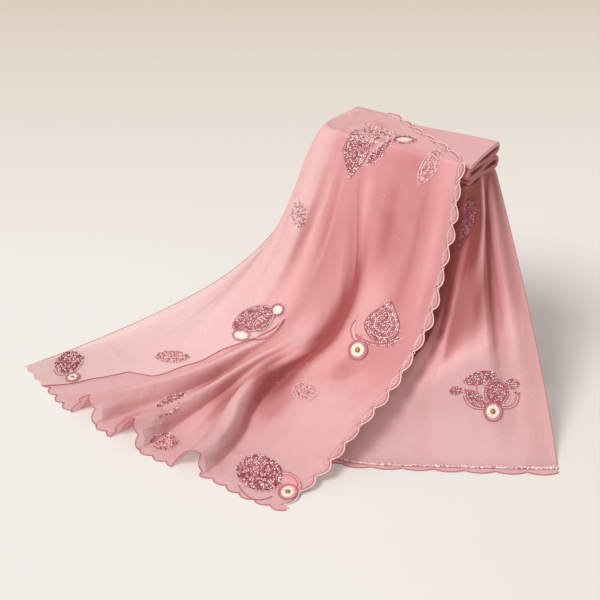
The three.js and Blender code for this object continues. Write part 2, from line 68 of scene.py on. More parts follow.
# %% A class that wraps a socket
class Sock:
    """One output socket of a node tree, with arithmetic."""

    def __init__(self, tree, socket):
        self.tree, self.socket = tree, socket

    def node(self, kind, settings=None, out=0, **inputs):
        """Any node of that type: its settings first, then its inputs by name or number."""
        made = self.tree.nodes.new(kind)
        for name, value in (settings or {}).items():
            if name == "stops":
                ramp = made.color_ramp
                while len(ramp.elements) < len(value):
                    ramp.elements.new(0.5)
                for stop, (at, colour) in zip(ramp.elements, value):
                    stop.position, stop.color = at, (*colour[:3], 1)
            else:
                setattr(made, name, value)
        for name, value in inputs.items():
            key = int(name[1:]) if name[0] == "i" and name[1:].isdigit() else name.replace("_", " ")
            target = made.inputs[key]
            if isinstance(value, Sock):
                self.tree.links.new(value.socket, target)
            else:
                target.default_value = value
        return Sock(self.tree, made.outputs[out])

    def _two(self, operation, a, b=None):
        values = {"i0": a} if b is None else {"i0": a, "i1": b}
        return self.node("ShaderNodeMath", {"operation": operation}, **values)

    def math(self, operation, other=None):
        """A Math node on this value, and on another one where the operation takes two."""
        return self._two(operation, self, other)

    def __add__(self, o): return self._two("ADD", self, o)
    def __radd__(self, o): return self._two("ADD", o, self)
    def __sub__(self, o): return self._two("SUBTRACT", self, o)
    def __rsub__(self, o): return self._two("SUBTRACT", o, self)
    def __mul__(self, o): return self._two("MULTIPLY", self, o)
    def __rmul__(self, o): return self._two("MULTIPLY", o, self)
    def __truediv__(self, o): return self._two("DIVIDE", self, o)

    def mix(self, a, b):
        """Colour a where this is 0 and b where it is 1."""
        return self.node("ShaderNodeMix", {"data_type": "RGBA"}, out=2, i0=self, i6=a, i7=b)


print("socket class ready")

# %% Colours and a plain material
def rgb(r, g, b):
    """Colour given on the 0..255 screen scale, as the linear numbers shaders use."""
    shares = [c / 255 for c in (r, g, b)]
    linear = [s / 12.92 if s <= 0.04 else ((s + 0.055) / 1.055) ** 2.4 for s in shares]
    return (*linear, 1.0)


def new_material(name, roughness, metallic=0.0, sheen=0.0):
    """A Principled material; returns it, its shader node and a Sock to start patterns from."""
    mat = bpy.data.materials.new(name)
    mat.use_nodes = True
    shader = mat.node_tree.nodes["Principled BSDF"]
    shader.inputs["Roughness"].default_value = roughness
    shader.inputs["Metallic"].default_value = metallic
    shader.inputs["Sheen Weight"].default_value = sheen
    shader.inputs["Sheen Roughness"].default_value = 0.4
    start = Sock(mat.node_tree, None)
    return mat, shader, start


def feed(start, value, shader, socket):
    """Link a value to one of the shader's sockets."""
    start.tree.links.new(value.socket, shader.inputs[socket])


print("material helpers ready")

# %% [markdown]
# ## The fall of a cloth, as a formula
# A sari over a bundle hangs in long strands. Each strand leaves the edge, drops steeply and
# runs out along the floor. It could be simulated, but the solids were made from a formula. The
# same formula is used here on a much finer grid, so the cloth follows its solid, and only the
# creases and the rounder folds leave it by a few millimetres.

# %% Sizes
MM = 0.001
WALL, GAP = 1.5 * MM, 0.3 * MM              # the solids' wall and clearance
LAYER_STEP = WALL + GAP
RIDGE_TOP = 0.520                            # height of the pile's top
BUNDLE_LENGTH, BUNDLE_WIDTH, BUNDLE_HEIGHT = 0.312, 0.124, 0.046
CORNER = np.array([0.301, 0.042])            # front right corner of the bundle in plan
TURN = math.radians(-33.5)                   # its long side against +X
CENTRE = np.array([-0.04066, 0.09217, 0.0])  # middle of the footprint in these measures
ALONG = np.array([math.cos(TURN), math.sin(TURN)])
ACROSS = np.array([-ALONG[1], ALONG[0]])
MIDDLE = CORNER - ALONG * BUNDLE_LENGTH / 2 + ACROSS * BUNDLE_WIDTH / 2
print("bundle middle in plan", MIDDLE.round(4))

# %% Places on the bundle and smooth curves
def plan(a, b):
    """Place in plan: a along the bundle and b across it, both from its middle."""
    a, b = np.asarray(a, float)[..., None], np.asarray(b, float)[..., None]
    return MIDDLE + ALONG * a + ACROSS * b


def on_bundle(points):
    """The other way round: how far along and across the bundle the points lie."""
    offset = points[..., :2] - MIDDLE
    return offset @ ALONG, offset @ ACROSS


def through(xs, ys, x):
    """Smooth curve through the points (xs, ys) that never overshoots them."""
    xs, ys = np.asarray(xs, float), np.asarray(ys, float)
    h = np.diff(xs)
    s = np.diff(ys) / h
    m = np.zeros_like(ys)
    m[0], m[-1] = s[0], s[-1]
    for i in range(1, len(xs) - 1):
        if s[i - 1] * s[i] > 0:
            w1, w2 = 2 * h[i] + h[i - 1], h[i] + 2 * h[i - 1]
            m[i] = (w1 + w2) / (w1 / s[i - 1] + w2 / s[i])
    x = np.asarray(x, float)
    k = np.clip(np.searchsorted(xs, x, side="right") - 1, 0, len(xs) - 2)
    t = np.clip((x - xs[k]) / h[k], 0, 1)
    r = 1 - t
    return (ys[k] * (1 + 2 * t) * r * r + ys[k + 1] * t * t * (3 - 2 * t)
            + h[k] * m[k] * t * r * r - h[k] * m[k + 1] * t * t * r)


def ease(t):
    """0 up to t = 0, 1 from t = 1 on, and a smooth step between."""
    t = np.clip(t, 0, 1)
    return t * t * (3 - 2 * t)


class Table:
    """A table with named columns, read smoothly against its first one."""

    def __init__(self, names, rows):
        self.key = names[0]
        self.columns = {n: np.array([row[i] for row in rows], float) for i, n in enumerate(names)}

    def __call__(self, name, x):
        return through(self.columns[self.key], self.columns[name], x)


print("smooth curve helpers ready")

# %% [markdown]
# ## Strands
# A strand starts on an edge of the bundle and ends at its foot on the floor. Its height is a
# sum of two powers: a steep one for the drop beside the bundle and a slow one for the trail.
# A panel's table gives the foot and the powers at a few places across it, and the rest is read
# smoothly between them.

# %% From the edge to the floor
READ = ("footX", "footY", "drop", "steep", "trail", "bow", "flat")


def ridge(s, bend_size=0.035):
    """The edge the front fall hangs over, s metres from the bundle's front right corner."""
    s = np.asarray(s, float)
    bend = BUNDLE_LENGTH - s
    left, front = -BUNDLE_LENGTH / 2, -BUNDLE_WIDTH / 2
    t = np.clip((bend_size - bend) / (2 * bend_size), 0, 1)
    a = np.where(bend >= bend_size, left + bend, np.where(bend <= -bend_size, left,
                 left + (1 - t) ** 2 * bend_size))
    b = np.where(bend >= bend_size, front, np.where(bend <= -bend_size, front - bend,
                 front + t * t * bend_size))
    return plan(a, b)


def plump(a, b):
    """How far the pile's top swells at its right end, towards the back."""
    return 0.012 * np.clip(0.5 + b / BUNDLE_WIDTH, 0, 1) * ease((a + 0.06) / 0.2)


def strand(top, g, h, v, roundness):
    """From the edge at top and the height h down to the floor, v from 0 to 1."""
    dx, dy = g["footX"] * MM - top[..., 0], g["footY"] * MM - top[..., 1]
    d = np.hypot(dx, dy)
    q = np.clip(v, 0, 1)
    s = 0.22 * q + 0.78 * q ** 1.5                     # share of the way out along the floor
    side = g["bow"] * MM * 4 * s * (1 - s)
    x = np.clip(1 - s * d / (d - g["flat"] * MM), 0, 1)
    w = h - h * (g["drop"] * x ** g["steep"] + (1 - g["drop"]) * x ** g["trail"])
    full = math.hypot(h, roundness) - roundness
    roll = (np.hypot(w, roundness) - roundness) / full     # rounds the cloth over the edge
    return np.stack([top[..., 0] + dx * s - dy / d * side, top[..., 1] + dy * s + dx / d * side,
                     h * (1 - roll)], -1)


print("a strand's columns:", READ)

# %% [markdown]
# ## The panel without its folds
# Across a panel u runs from 0 to 1, and down it v runs from 0 at the edge to 1 at the hem.
# Below 0 the cloth lies on the bundle. Two numbers thus name every place on the cloth, which
# is easier to work with than points in the room.

# %% The panel's surface
def surface(p, u, v):
    """Middle of the cloth wall, without its folds."""
    u, v = np.broadcast_arrays(np.asarray(u, float), np.asarray(v, float))
    g = {name: p["rows"](name, u) for name in READ}
    top, inner = p["top"](u), p["inner"](u)
    points = strand(top, g, p["height"], v, p["round"])
    w = np.clip(v / p["start"], 0, 1)[..., None]
    flat = top * (1 - w) + inner * w
    tuck = np.clip((p["start"] - v) / 0.1, 0, 1)       # behind the bundle the cloth turns down
    back = p["tuck"] * 0.12 * np.sin(np.pi / 2 * np.minimum(tuck * 3, 1))
    flat = flat + ACROSS * back[..., None]
    down = p["height"] - p["tuck"] * tuck ** 1.5
    points = np.where((v < 0)[..., None], np.concatenate([flat, down[..., None]], -1), points)
    points[..., 2] += WALL / 2
    if p["tuck"]:
        points[..., 2] += plump(*on_bundle(points)) * (v > p["start"] - 0.02)
    return points


print("panel surface ready")

# %% [markdown]
# ## Fold lines
# Fold lines say where crests and valleys run down a panel and how far they stand out. The
# grid's columns follow them, so that a fold stays crisp with few faces. On the front fall some
# lines also have a course of their own, because its folds gather at a waist and fan out again.

# %% The columns of the grid
def line_columns(p, v, fine):
    """u, fold height and pull of every column at each v: three arrays (rows, columns)."""
    t = np.clip((v - p["fold_start"]) / (1 - p["fold_start"]), 0, 1)
    fade = ease((v - p["fold_start"] + 0.12) / 0.12) * MM
    own = ease((v - 0.43) / 0.25)
    us = [through([0, 0.5, 1], line[1:4], t) for line in p["lines"]]
    hs = [through([0, 0.5, 1], line[4:7], t) * fade for line in p["lines"]]
    qs = [0 * v for line in p["lines"]]
    for i, line in enumerate(p["lines"]):
        if line[0] in p.get("courses", {}):
            *course, swell, pull = p["courses"][line[0]]
            us[i] = through(p["course_v"], course, v)
            hs[i] = hs[i] * (own + (swell - 1) * ease((v - 0.7) / 0.25))
            qs[i] = pull * ease((v - 0.6) / 0.4)
    dome = ease((v - 0.84) / 0.13)                 # at the hem a fold stands up like an arch
    U, H, Q = [], [], []
    for i, line in enumerate(p["lines"][:-1]):
        falls = hs[i][-1] > hs[i + 1][-1]
        for k in range(line[7] * fine):
            a = k / (line[7] * fine)
            if falls:                              # from a broad crest down to a valley
                w, arch = ease(a) ** 1.6, 1 - math.cos(math.pi * a / 2) ** 0.7
            else:
                w, arch = 1 - ease(1 - a) ** 1.6, math.sin(math.pi * a / 2) ** 0.7
            w = w + (arch - w) * dome
            U.append(us[i] * (1 - a) + us[i + 1] * a)
            H.append(hs[i] * (1 - w) + hs[i + 1] * w)
            Q.append(qs[i] * (1 - w) + qs[i + 1] * w)
    U, H, Q = (np.stack(A + [last[-1]], -1) for A, last in ((U, us), (H, hs), (Q, qs)))
    if "bulge" in p:                               # one broad swell beside the deep valley
        names = [line[0] for line in p["lines"]]
        beside = U - us[names.index("valley_a")][:, None]
        H = H + through(*p["bulge"], beside) * MM * (ease((v - 0.02) / 0.25) * (1 - own))[:, None]
    return U, H, Q


def out_normals(P):
    """Unit normals of a net of points, turned outwards."""
    a, b = np.gradient(P, axis=1), np.gradient(P, axis=0)
    n = np.cross(a, b)
    n /= np.maximum(np.linalg.norm(n, axis=-1, keepdims=True), 1e-12)
    return -n if n[..., 2].sum() < 0 else n


print("fold lines ready")

# %% [markdown]
# ## Small creases
# Thin silk never hangs perfectly smooth. Each crease is a short line on the panel, and the
# points near it are pushed in or out, most in the middle of the line and nothing at its ends.

# %% Cloth: a fine grid of one panel
class Cloth:
    """A panel's fine grid: points, normals, and places on it."""

    def __init__(self, p, fine=3, creases=()):
        self.p = p
        steps = np.array(p["more"] + p["steps"], float)
        self.V = np.concatenate([np.linspace(a, b, p["fine_rows"], endpoint=False)
                                 for a, b in zip(steps[:-1], steps[1:])] + [[1.0]])
        self.U, H, Q = line_columns(p, self.V, fine)
        bare = surface(p, self.U, self.V[:, None] - Q)
        P = bare + out_normals(bare) * H[..., None]
        along = np.gradient(bare, axis=1)
        along /= np.maximum(np.linalg.norm(along, axis=-1, keepdims=True), 1e-9)
        P = P - along * (p.get("lean", 0) * H * ease((self.V[:, None] - 0.6) / 0.3))[..., None]
        P[..., 2] = np.maximum(P[..., 2], WALL / 2)
        self.P, self.N = P, out_normals(P)
        self.crease(creases)
        self.rows, self.cols = self.U.shape

    def crease(self, creases):
        """Push the points near each crease's line in or out."""
        push = np.zeros(self.U.shape)
        for u0, v0, u1, v1, width, height, curve in creases:
            t = np.linspace(0, 1, 25)
            line = self.at(u0 + (u1 - u0) * t + curve * 4 * t * (1 - t), v0 + (v1 - v0) * t)
            near = np.full(self.U.shape, 9.0)
            place = np.zeros(self.U.shape)
            for tk, point in zip(t, line):
                d = np.linalg.norm(self.P - point, axis=-1)
                place = np.where(d < near, tk, place)
                near = np.minimum(near, d)
            push += height * MM * np.exp(-(near / (width * MM)) ** 2) * np.sin(np.pi * place) ** 0.7
        self.P = self.P + self.N * push[..., None]
        self.P[..., 2] = np.maximum(self.P[..., 2], WALL / 2)
        self.N = out_normals(self.P)

    def cell(self, u, v):
        """Row and column, as real numbers, of places (u, v)."""
        u, v = np.atleast_1d(np.asarray(u, float)), np.atleast_1d(np.asarray(v, float))
        r = np.interp(v, self.V, np.arange(len(self.V)))
        r0 = np.minimum(r.astype(int), len(self.V) - 2)
        f = (r - r0)[:, None]
        rows = self.U[r0] * (1 - f) + self.U[r0 + 1] * f
        c = np.array([np.interp(a, row, np.arange(len(row))) for a, row in zip(u, rows)])
        return r, c

    def at_cell(self, r, c, out=0.0):
        """Points at row r and column c, moved out along the normals."""
        r, c = np.atleast_1d(r), np.atleast_1d(c)
        r0 = np.clip(r.astype(int), 0, self.P.shape[0] - 2)
        c0 = np.clip(c.astype(int), 0, self.P.shape[1] - 2)
        y, x = (r - r0)[:, None], (c - c0)[:, None]

        def blend(A):
            return ((A[r0, c0] * (1 - x) + A[r0, c0 + 1] * x) * (1 - y)
                    + (A[r0 + 1, c0] * (1 - x) + A[r0 + 1, c0 + 1] * x) * y)

        n = blend(self.N)
        n /= np.linalg.norm(n, axis=-1, keepdims=True)
        return blend(self.P) + n * np.atleast_1d(out)[:, None]

    def at(self, u, v, out=0.0):
        """Points at (u, v), moved out along the normals."""
        return self.at_cell(*self.cell(u, v), out)

    def column(self, name):
        """Grid column where a named fold line starts."""
        names = [line[0] for line in self.p["lines"]]
        fine = (self.cols - 1) // sum(line[7] for line in self.p["lines"])
        return fine * sum(line[7] for line in self.p["lines"][:names.index(name)])

    def row(self, v):
        """The grid row nearest to v."""
        return int(np.argmin(abs(self.V - v)))


print("cloth class ready")

# %% [markdown]
# ## The decorated fall
# The decorated end is gathered at the back left of the bundle, crosses it and fans out to the
# front hem. The tables below are read from top to bottom: the strands, then the courses of the
# fold lines that wander, then the fold lines, and last the creases.

# %% Strands of the front fall
FRONT_ROWS = Table(
    ("across", "ridge", "neck", "footX", "footY", "drop", "steep", "trail", "bow", "flat"), [
        (0.00, 4, 0.00, -30, -281, 0.59, 12.0, 1.45, -7, 25),
        (0.12, 80, 0.30, -105, -238, 0.54, 10.5, 1.50, -7, 25),
        (0.23, 160, 0.55, -168, -185, 0.50, 9.5, 1.60, -10, 25),
        (0.34, 225, 0.75, -236, -148, 0.48, 9.0, 1.65, -20, 25),
        (0.45, 258, 0.85, -305, -100, 0.47, 8.5, 1.70, -30, 25),
        (0.55, 280, 0.90, -360, -55, 0.46, 8.0, 1.75, -40, 25),
        (0.63, 298, 0.93, -400, -16, 0.46, 7.5, 1.80, -50, 25),
        (0.73, 318, 0.95, -455, 33, 0.46, 7.0, 1.85, -60, 25),
        (0.87, 350, 0.98, -505, 105, 0.46, 7.0, 1.90, -75, 25),
        (1.00, 385, 1.00, -563, 193, 0.46, 7.0, 1.90, -95, 25)])
NECK = (-0.081, -0.150)          # along the bundle's back edge: the gathered start
print("front fall:", len(FRONT_ROWS.columns["across"]), "strands in its table")

# %% Folds of the front fall
FRONT = dict(
    rows=FRONT_ROWS, height=RIDGE_TOP + GAP, round=0.032, start=-0.3, fold_start=0.1, tuck=0.03,
    lean=0.18, bulge=([-0.13, -0.05, 0, 0.04, 0.10, 0.17, 0.26, 0.38, 0.5],
                      [0, 2, -14, 4, 19, 27, 19, 6, 0]),
    course_v=(0.1, 0.18, 0.25, 0.32, 0.40, 0.49, 0.56, 0.63, 0.71, 0.80, 0.90, 1.0),
    courses={  # u of the line at each course_v, swell of its hem wave, how far it is drawn back
        "panel": (.150, .148, .140, .135, .138, .148, .155, .158, .155, .150, .143, .140, 1, 0),
        "valley_a": (.308, .275, .251, .240, .241, .272, .292, .303, .295, .268, .258, .258, 1, 0),
        "crest_3": (.318, .287, .264, .254, .258, .290, .320, .334, .326, .300, .288, .288, .95, .015),
        "valley_3": (.327, .298, .276, .267, .273, .308, .346, .370, .378, .368, .352, .342, 1, 0),
        "flat_3": (.336, .309, .288, .280, .288, .325, .368, .395, .412, .428, .442, .455, 1, 0),
        "crest_2": (.345, .320, .300, .293, .303, .342, .386, .412, .430, .455, .478, .500, 1.02, .02),
        "valley_1": (.354, .331, .312, .306, .318, .360, .405, .435, .468, .508, .538, .552, 1, 0),
        "flat_1": (.363, .342, .324, .319, .333, .378, .424, .458, .500, .552, .600, .630, 1, 0),
        "crest_1": (.374, .355, .338, .334, .350, .398, .448, .488, .532, .590, .645, .680, .92, .02),
        "foot_1": (.392, .375, .360, .358, .376, .426, .478, .522, .570, .635, .692, .716, 1, 0),
        "flap": (.450, .440, .430, .430, .440, .480, .530, .590, .650, .740, .820, .850, 1, 0)},
    top=lambda u: ridge(FRONT_ROWS("ridge", u) * MM), fine_rows=3,
    inner=lambda u: plan(NECK[0] + (NECK[1] - NECK[0]) * FRONT_ROWS("neck", u),
                         np.full(np.shape(u), BUNDLE_WIDTH / 2)),
    more=[-0.4, -0.36, -0.33],
    steps=[-0.3, -0.2, -0.1, -0.03, 0, 0.01, 0.025, 0.05, 0.09, 0.14, 0.2, 0.27, 0.35, 0.43, 0.51,
           0.59, 0.67, 0.74, 0.8, 0.86, 0.91, 0.945, 0.972, 1],
    lines=[  # name, u at top, middle, hem, height at top, middle, hem, columns to the next
        ("edge", 0.000, 0.000, 0.000, 0, 0, 0, 1),
        ("band", 0.030, 0.030, 0.030, 0, 0, 0, 5),
        ("panel", 0.150, 0.170, 0.140, 4, 6, 0, 5),
        ("valley_a", 0.285, 0.310, 0.237, -6, -20, 0, 4),
        ("crest_3", 0.300, 0.345, 0.284, 3, 26, 48, 4),
        ("valley_3", 0.310, 0.372, 0.334, 0, -6, 0, 3),
        ("flat_3", 0.318, 0.382, 0.450, 0, 0, 0, 4),
        ("crest_2", 0.326, 0.400, 0.500, 0, 16, 54, 4),
        ("valley_1", 0.334, 0.416, 0.550, 0, -4, 0, 2),
        ("flat_1", 0.342, 0.428, 0.628, 0, -4, 0, 4),
        ("crest_1", 0.352, 0.452, 0.680, 0, 24, 50, 4),
        ("foot_1", 0.375, 0.480, 0.731, 0, 2, 0, 3),
        ("flap", 0.440, 0.510, 0.850, 4, 2, 0, 6),
        ("shoulder", 0.720, 0.760, 0.930, 14, 5, 0, 5),
        ("left", 1.000, 1.000, 1.000, 4, 0, 0, 0)])
print("front fall:", len(FRONT["lines"]), "fold lines")

# %% Creases of the front fall
FRONT_CREASES = [  # u, v at the start, u, v at the end, half width mm, height mm, curve in u
    (0.06, 0.03, 0.05, 0.34, 7, 1.2, 0.01), (0.11, 0.02, 0.13, 0.30, 12, -3.5, 0.0),
    (0.17, 0.03, 0.15, 0.40, 9, 2.2, 0.01), (0.20, 0.08, 0.20, 0.30, 14, -5.0, 0.0),
    (0.24, 0.10, 0.13, 0.12, 9, 2.4, 0.0), (0.05, 0.45, 0.13, 0.74, 9, -1.6, 0.01),
    (0.02, 0.62, 0.17, 0.86, 10, 1.8, 0.0), (0.17, 0.40, 0.15, 0.66, 12, -2.5, 0.0),
    (0.10, 0.80, 0.20, 0.80, 9, -1.4, 0.0), (0.60, 0.05, 0.56, 0.30, 9, 2.4, 0.0),
    (0.70, 0.10, 0.60, 0.40, 10, -2.2, 0.02), (0.80, 0.20, 0.72, 0.60, 11, 2.2, 0.0),
    (0.90, 0.30, 0.84, 0.75, 10, -1.8, 0.0), (0.46, 0.03, 0.44, 0.34, 9, 3.0, 0.0),
    (0.42, 0.04, 0.40, 0.26, 9, -3.0, 0.0), (0.66, 0.70, 0.74, 0.90, 10, 1.6, 0.0),
    (0.19, 0.06, 0.165, 0.26, 22, -1.2, 0.0),
    (0.52, 0.30, 0.50, 0.66, 9, -2.4, 0.0), (0.03, 0.20, 0.12, 0.22, 6, -1.2, 0.0),
    (0.13, 0.10, 0.12, 0.26, 5, 1.3, 0.0), (0.155, 0.12, 0.15, 0.24, 4, 1.1, 0.0),
    (0.09, 0.06, 0.10, 0.20, 6, -1.3, 0.0), (0.20, 0.62, 0.07, 0.70, 7, 1.6, 0.0),
    (0.19, 0.74, 0.05, 0.80, 8, -1.8, 0.0), (0.22, 0.50, 0.10, 0.56, 8, 1.5, 0.0),
    (0.04, 0.50, 0.06, 0.62, 5, 1.2, 0.0), (0.62, 0.30, 0.55, 0.46, 8, 1.8, 0.0),
    (0.36, 0.14, 0.38, 0.30, 7, 1.8, 0.0), (0.50, 0.10, 0.47, 0.26, 7, -1.8, 0.0),
    (0.30, 0.86, 0.24, 0.97, 5, 1.6, 0.0), (0.20, 0.84, 0.24, 0.95, 5, -1.4, 0.0),
]
front = Cloth(FRONT, creases=FRONT_CREASES)
print("front fall grid", front.rows, "x", front.cols)

# %% [markdown]
# ## The two other falls
# The other end of the sari hangs from under the bundle's right end, and a plain stretch hangs
# behind. They use the same formula with their own tables.

# %% The right fall's tables
UNDER = RIDGE_TOP - BUNDLE_HEIGHT - GAP - WALL
RIGHT_ROWS = Table(("across", "end", "footX", "footY", "drop", "steep", "trail", "bow", "flat"), [
    (0.00, 4, -40, -20, 0.60, 12.0, 1.60, 0, 30),
    (0.10, 10, 10, -105, 0.58, 12.0, 1.60, 0, 30),
    (0.24, 22, 100, -150, 0.46, 11.0, 1.60, 5, 30),
    (0.47, 45, 230, -160, 0.24, 9.0, 1.60, 10, 30),
    (0.70, 72, 345, -168, 0.12, 9.0, 1.65, 15, 30),
    (0.88, 95, 425, -172, 0.05, 9.0, 1.70, 25, 20),
    (1.00, 110, 472, -174, 0.00, 9.0, 1.73, 40, 20)])
RIGHT = dict(
    rows=RIGHT_ROWS, height=UNDER, round=0.006, start=-0.12, fold_start=0.12, tuck=0.0,
    top=lambda u: plan(np.full(np.shape(u), BUNDLE_LENGTH / 2 - 0.004),
                       RIGHT_ROWS("end", u) * MM - BUNDLE_WIDTH / 2), fine_rows=4,
    inner=lambda u: plan(np.full(np.shape(u), BUNDLE_LENGTH / 2 - 0.045),
                         RIGHT_ROWS("end", u) * MM - BUNDLE_WIDTH / 2),
    more=[],
    steps=[-0.12, 0, 0.012, 0.03, 0.06, 0.11, 0.18, 0.26, 0.35, 0.44, 0.53, 0.62, 0.71, 0.79,
           0.86, 0.92, 0.965, 1],
    lines=[
        ("hidden", 0.00, 0.00, 0.00, 0, 0, 0, 5),
        ("hollow", 0.10, 0.25, 0.30, -3, -9, 0, 5),
        ("crest", 0.58, 0.68, 0.72, 12, 9, 0, 5),
        ("facet", 0.78, 0.82, 0.84, -5, -3, 0, 4),
        ("margin", 0.88, 0.90, 0.92, 2, 1, 0, 4),
        ("edge", 1.00, 1.00, 1.00, 0, 0, 0, 0)])
RIGHT_CREASES = [
    (0.44, 0.16, 0.30, 0.62, 8, 2.5, 0.0), (0.60, 0.30, 0.56, 0.80, 10, -2.0, 0.0),
    (0.74, 0.49, 0.30, 0.52, 8, 5.0, 0.0), (0.30, 0.50, 0.44, 0.92, 9, -2.0, 0.0),
    (0.80, 0.20, 0.78, 0.60, 8, 1.5, 0.0), (0.20, 0.40, 0.24, 0.70, 9, 2.0, 0.0)]
right = Cloth(RIGHT, creases=RIGHT_CREASES)
print("right fall grid", right.rows, "x", right.cols)

# %% The back fall's tables
BACK_ROWS = Table(("across", "edge", "footX", "footY", "drop", "steep", "trail", "bow", "flat"), [
    (0.00, 6, 120, 460, 0.30, 9.0, 1.50, 0, 20),
    (0.35, 110, 235, 420, 0.30, 9.0, 1.45, 0, 20),
    (0.70, 210, 350, 360, 0.25, 9.0, 1.35, 0, 20),
    (1.00, 302, 455, 290, 0.20, 9.0, 1.30, 0, 20)])
BACK = dict(
    rows=BACK_ROWS, height=UNDER, round=0.006, start=-0.12, fold_start=0.12, tuck=0.0,
    top=lambda u: plan(BACK_ROWS("edge", u) * MM - BUNDLE_LENGTH / 2,
                       np.full(np.shape(u), BUNDLE_WIDTH / 2 - 0.003)), fine_rows=4,
    inner=lambda u: plan(BACK_ROWS("edge", u) * MM - BUNDLE_LENGTH / 2,
                         np.full(np.shape(u), BUNDLE_WIDTH / 2 - 0.012)),
    more=[],
    steps=[-0.12, 0, 0.012, 0.03, 0.07, 0.14, 0.24, 0.35, 0.46, 0.57, 0.68, 0.78, 0.87, 0.94, 1],
    lines=[
        ("left", 0.00, 0.00, 0.00, 0, 0, 0, 4),
        ("pleat_1", 0.22, 0.20, 0.20, 3, 12, 12, 4),
        ("between_1", 0.36, 0.35, 0.35, 0, -4, 0, 4),
        ("pleat_2", 0.48, 0.50, 0.52, 3, 14, 16, 4),
        ("between_2", 0.62, 0.65, 0.67, 0, -4, 0, 4),
        ("pleat_3", 0.76, 0.80, 0.82, 3, 12, 12, 4),
        ("right", 1.00, 1.00, 1.00, 0, 0, 0, 0)])
BACK_CREASES = [(0.10, 0.10, 0.12, 0.60, 8, 2.0, 0.0), (0.42, 0.20, 0.44, 0.80, 9, -2.0, 0.0),
                (0.70, 0.15, 0.68, 0.50, 8, 2.0, 0.0), (0.92, 0.30, 0.90, 0.90, 8, 1.5, 0.0)]
back = Cloth(BACK, creases=BACK_CREASES)
print("back fall grid", back.rows, "x", back.cols)

# %% [markdown]
# ## Cloth materials
# Organza is a crisp sheer silk. One layer lets some of the light through and several look rich
# and rosy. Its colour also carries painted light and shade: paler where the light falls, and
# deeper rose in the folds and on the shaded sides, where a painted glow of emission keeps the
# shade warm. Fine slubs run down the cloth, and the weave is a small bump. Both read the UV map,
# which is in metres of cloth. A broad, shallow bump of crumples reads Object coordinates
# instead, so that it isn't squeezed where the cloth is gathered.

# %% Organza and its variants
THREADS = 7000.0                     # radians a metre: a thread of the weave every 0.9 mm
SLUBS = (420.0, 9.0, 1.0)            # narrow across the cloth and long down it
CRUMPLES = (13.0, 9.0, 5.0)
GLOW = (0.24, 0.055, 0.05, 1)        # painted glow: emission standing in for light that comes through the layers behind


def organza(name, colour, shade, painted_shade_colour):
    """Sheer silk: its colour, a slightly darker shade of it, and the colour of its painted shade.

    The attribute sheer is its alpha. The attribute depth is painted light and shade: at 0
    the colour is painted paler, near 0.4 it is the cloth's own colour, and towards 1 it turns to
    the colour of painted shade."""
    mat, shader, start = new_material(name, 0.7, 0.0, 0.25)
    feed(start, start.node("ShaderNodeAttribute", {"attribute_name": "sheer"}, out=2), shader, "Alpha")
    shader.inputs["Sheen Tint"].default_value = (1.0, 0.86, 0.85, 1)
    shader.inputs["Specular IOR Level"].default_value = 0.25
    cloth = start.node("ShaderNodeUVMap", {"uv_map": "cloth"})
    stretch = start.node("ShaderNodeMapping", i0=cloth, Scale=SLUBS)
    slub = start.node("ShaderNodeTexNoise", Vector=stretch, Scale=1.0, Detail=2.0)
    soft = start.node("ShaderNodeTexNoise", Vector=cloth, Scale=14.0, Detail=3.0)
    tone = (slub - 0.5) * 0.45 + (soft - 0.5) * 0.8 + 0.45
    depth = start.node("ShaderNodeAttribute", {"attribute_name": "depth"}, out=2)
    low = start.node("ShaderNodeClamp", Value=depth * 2.5)             # full at a painted shade of 0.4
    high = start.node("ShaderNodeClamp", Value=depth * 1.43 - 0.43)    # starts at 0.3
    # Painted light where depth is low, painted shade where it is high.
    painted_light = rgb(*[c + (255 - c) * share for c, share in zip(colour, (0.3, 0.24, 0.24))])
    mid = low.mix(painted_light, tone.mix(rgb(*colour), rgb(*shade)))
    feed(start, high.mix(mid, rgb(*painted_shade_colour)), shader, "Base Color")
    # Painted glow: emission that rises with the painted shade and keeps it warm.
    feed(start, high.mix((0, 0, 0, 1), GLOW), shader, "Emission Color")
    shader.inputs["Emission Strength"].default_value = 0.06
    split = start.node("ShaderNodeSeparateXYZ", i0=cloth)
    across = Sock(start.tree, split.socket)
    down = Sock(start.tree, split.socket.node.outputs[1])
    threads = (across * THREADS).math("SINE") * (down * THREADS).math("SINE")
    place = start.node("ShaderNodeTexCoord", out=3)
    broad = start.node("ShaderNodeMapping", i0=place, Scale=CRUMPLES)
    crumple = start.node("ShaderNodeTexNoise", Vector=broad, Scale=1.0, Detail=3.0, Distortion=0.8)
    crumpled = start.node("ShaderNodeBump", i0=0.8, i1=0.012, Height=crumple)
    weave = start.node("ShaderNodeBump", i0=0.25, i1=0.0002, Height=threads * 0.3 + slub,
                       Normal=crumpled)
    feed(start, weave, shader, "Normal")
    return mat


SILK = organza("silk_organza", (238, 174, 176), (229, 156, 159), (176, 84, 84))
# A copy of the silk with a darker painted shade colour, for the right fall, which hangs in shade.
SILK_PAINTED_SHADE = organza("organza_painted_shade", (234, 172, 174), (224, 154, 157), (150, 66, 64))
# A paler copy of the silk for the left flap: painted light, for the light of the bright floor that
# comes through the sheer cloth lying on it.
SILK_PAINTED_LIGHT = organza("organza_painted_light", (253, 212, 211), (245, 196, 196), (204, 106, 108))
BODY = organza("folded_silk", (228, 172, 175), (216, 156, 160), (168, 88, 86))
PLAIN = organza("plain_silk", (238, 192, 188), (222, 166, 162), (176, 92, 86))
BORDER = organza("border_silk", (242, 190, 192), (232, 170, 174), (206, 120, 124))
print("cloth materials", [m.name for m in (SILK, SILK_PAINTED_SHADE, SILK_PAINTED_LIGHT, BODY, PLAIN, BORDER)])

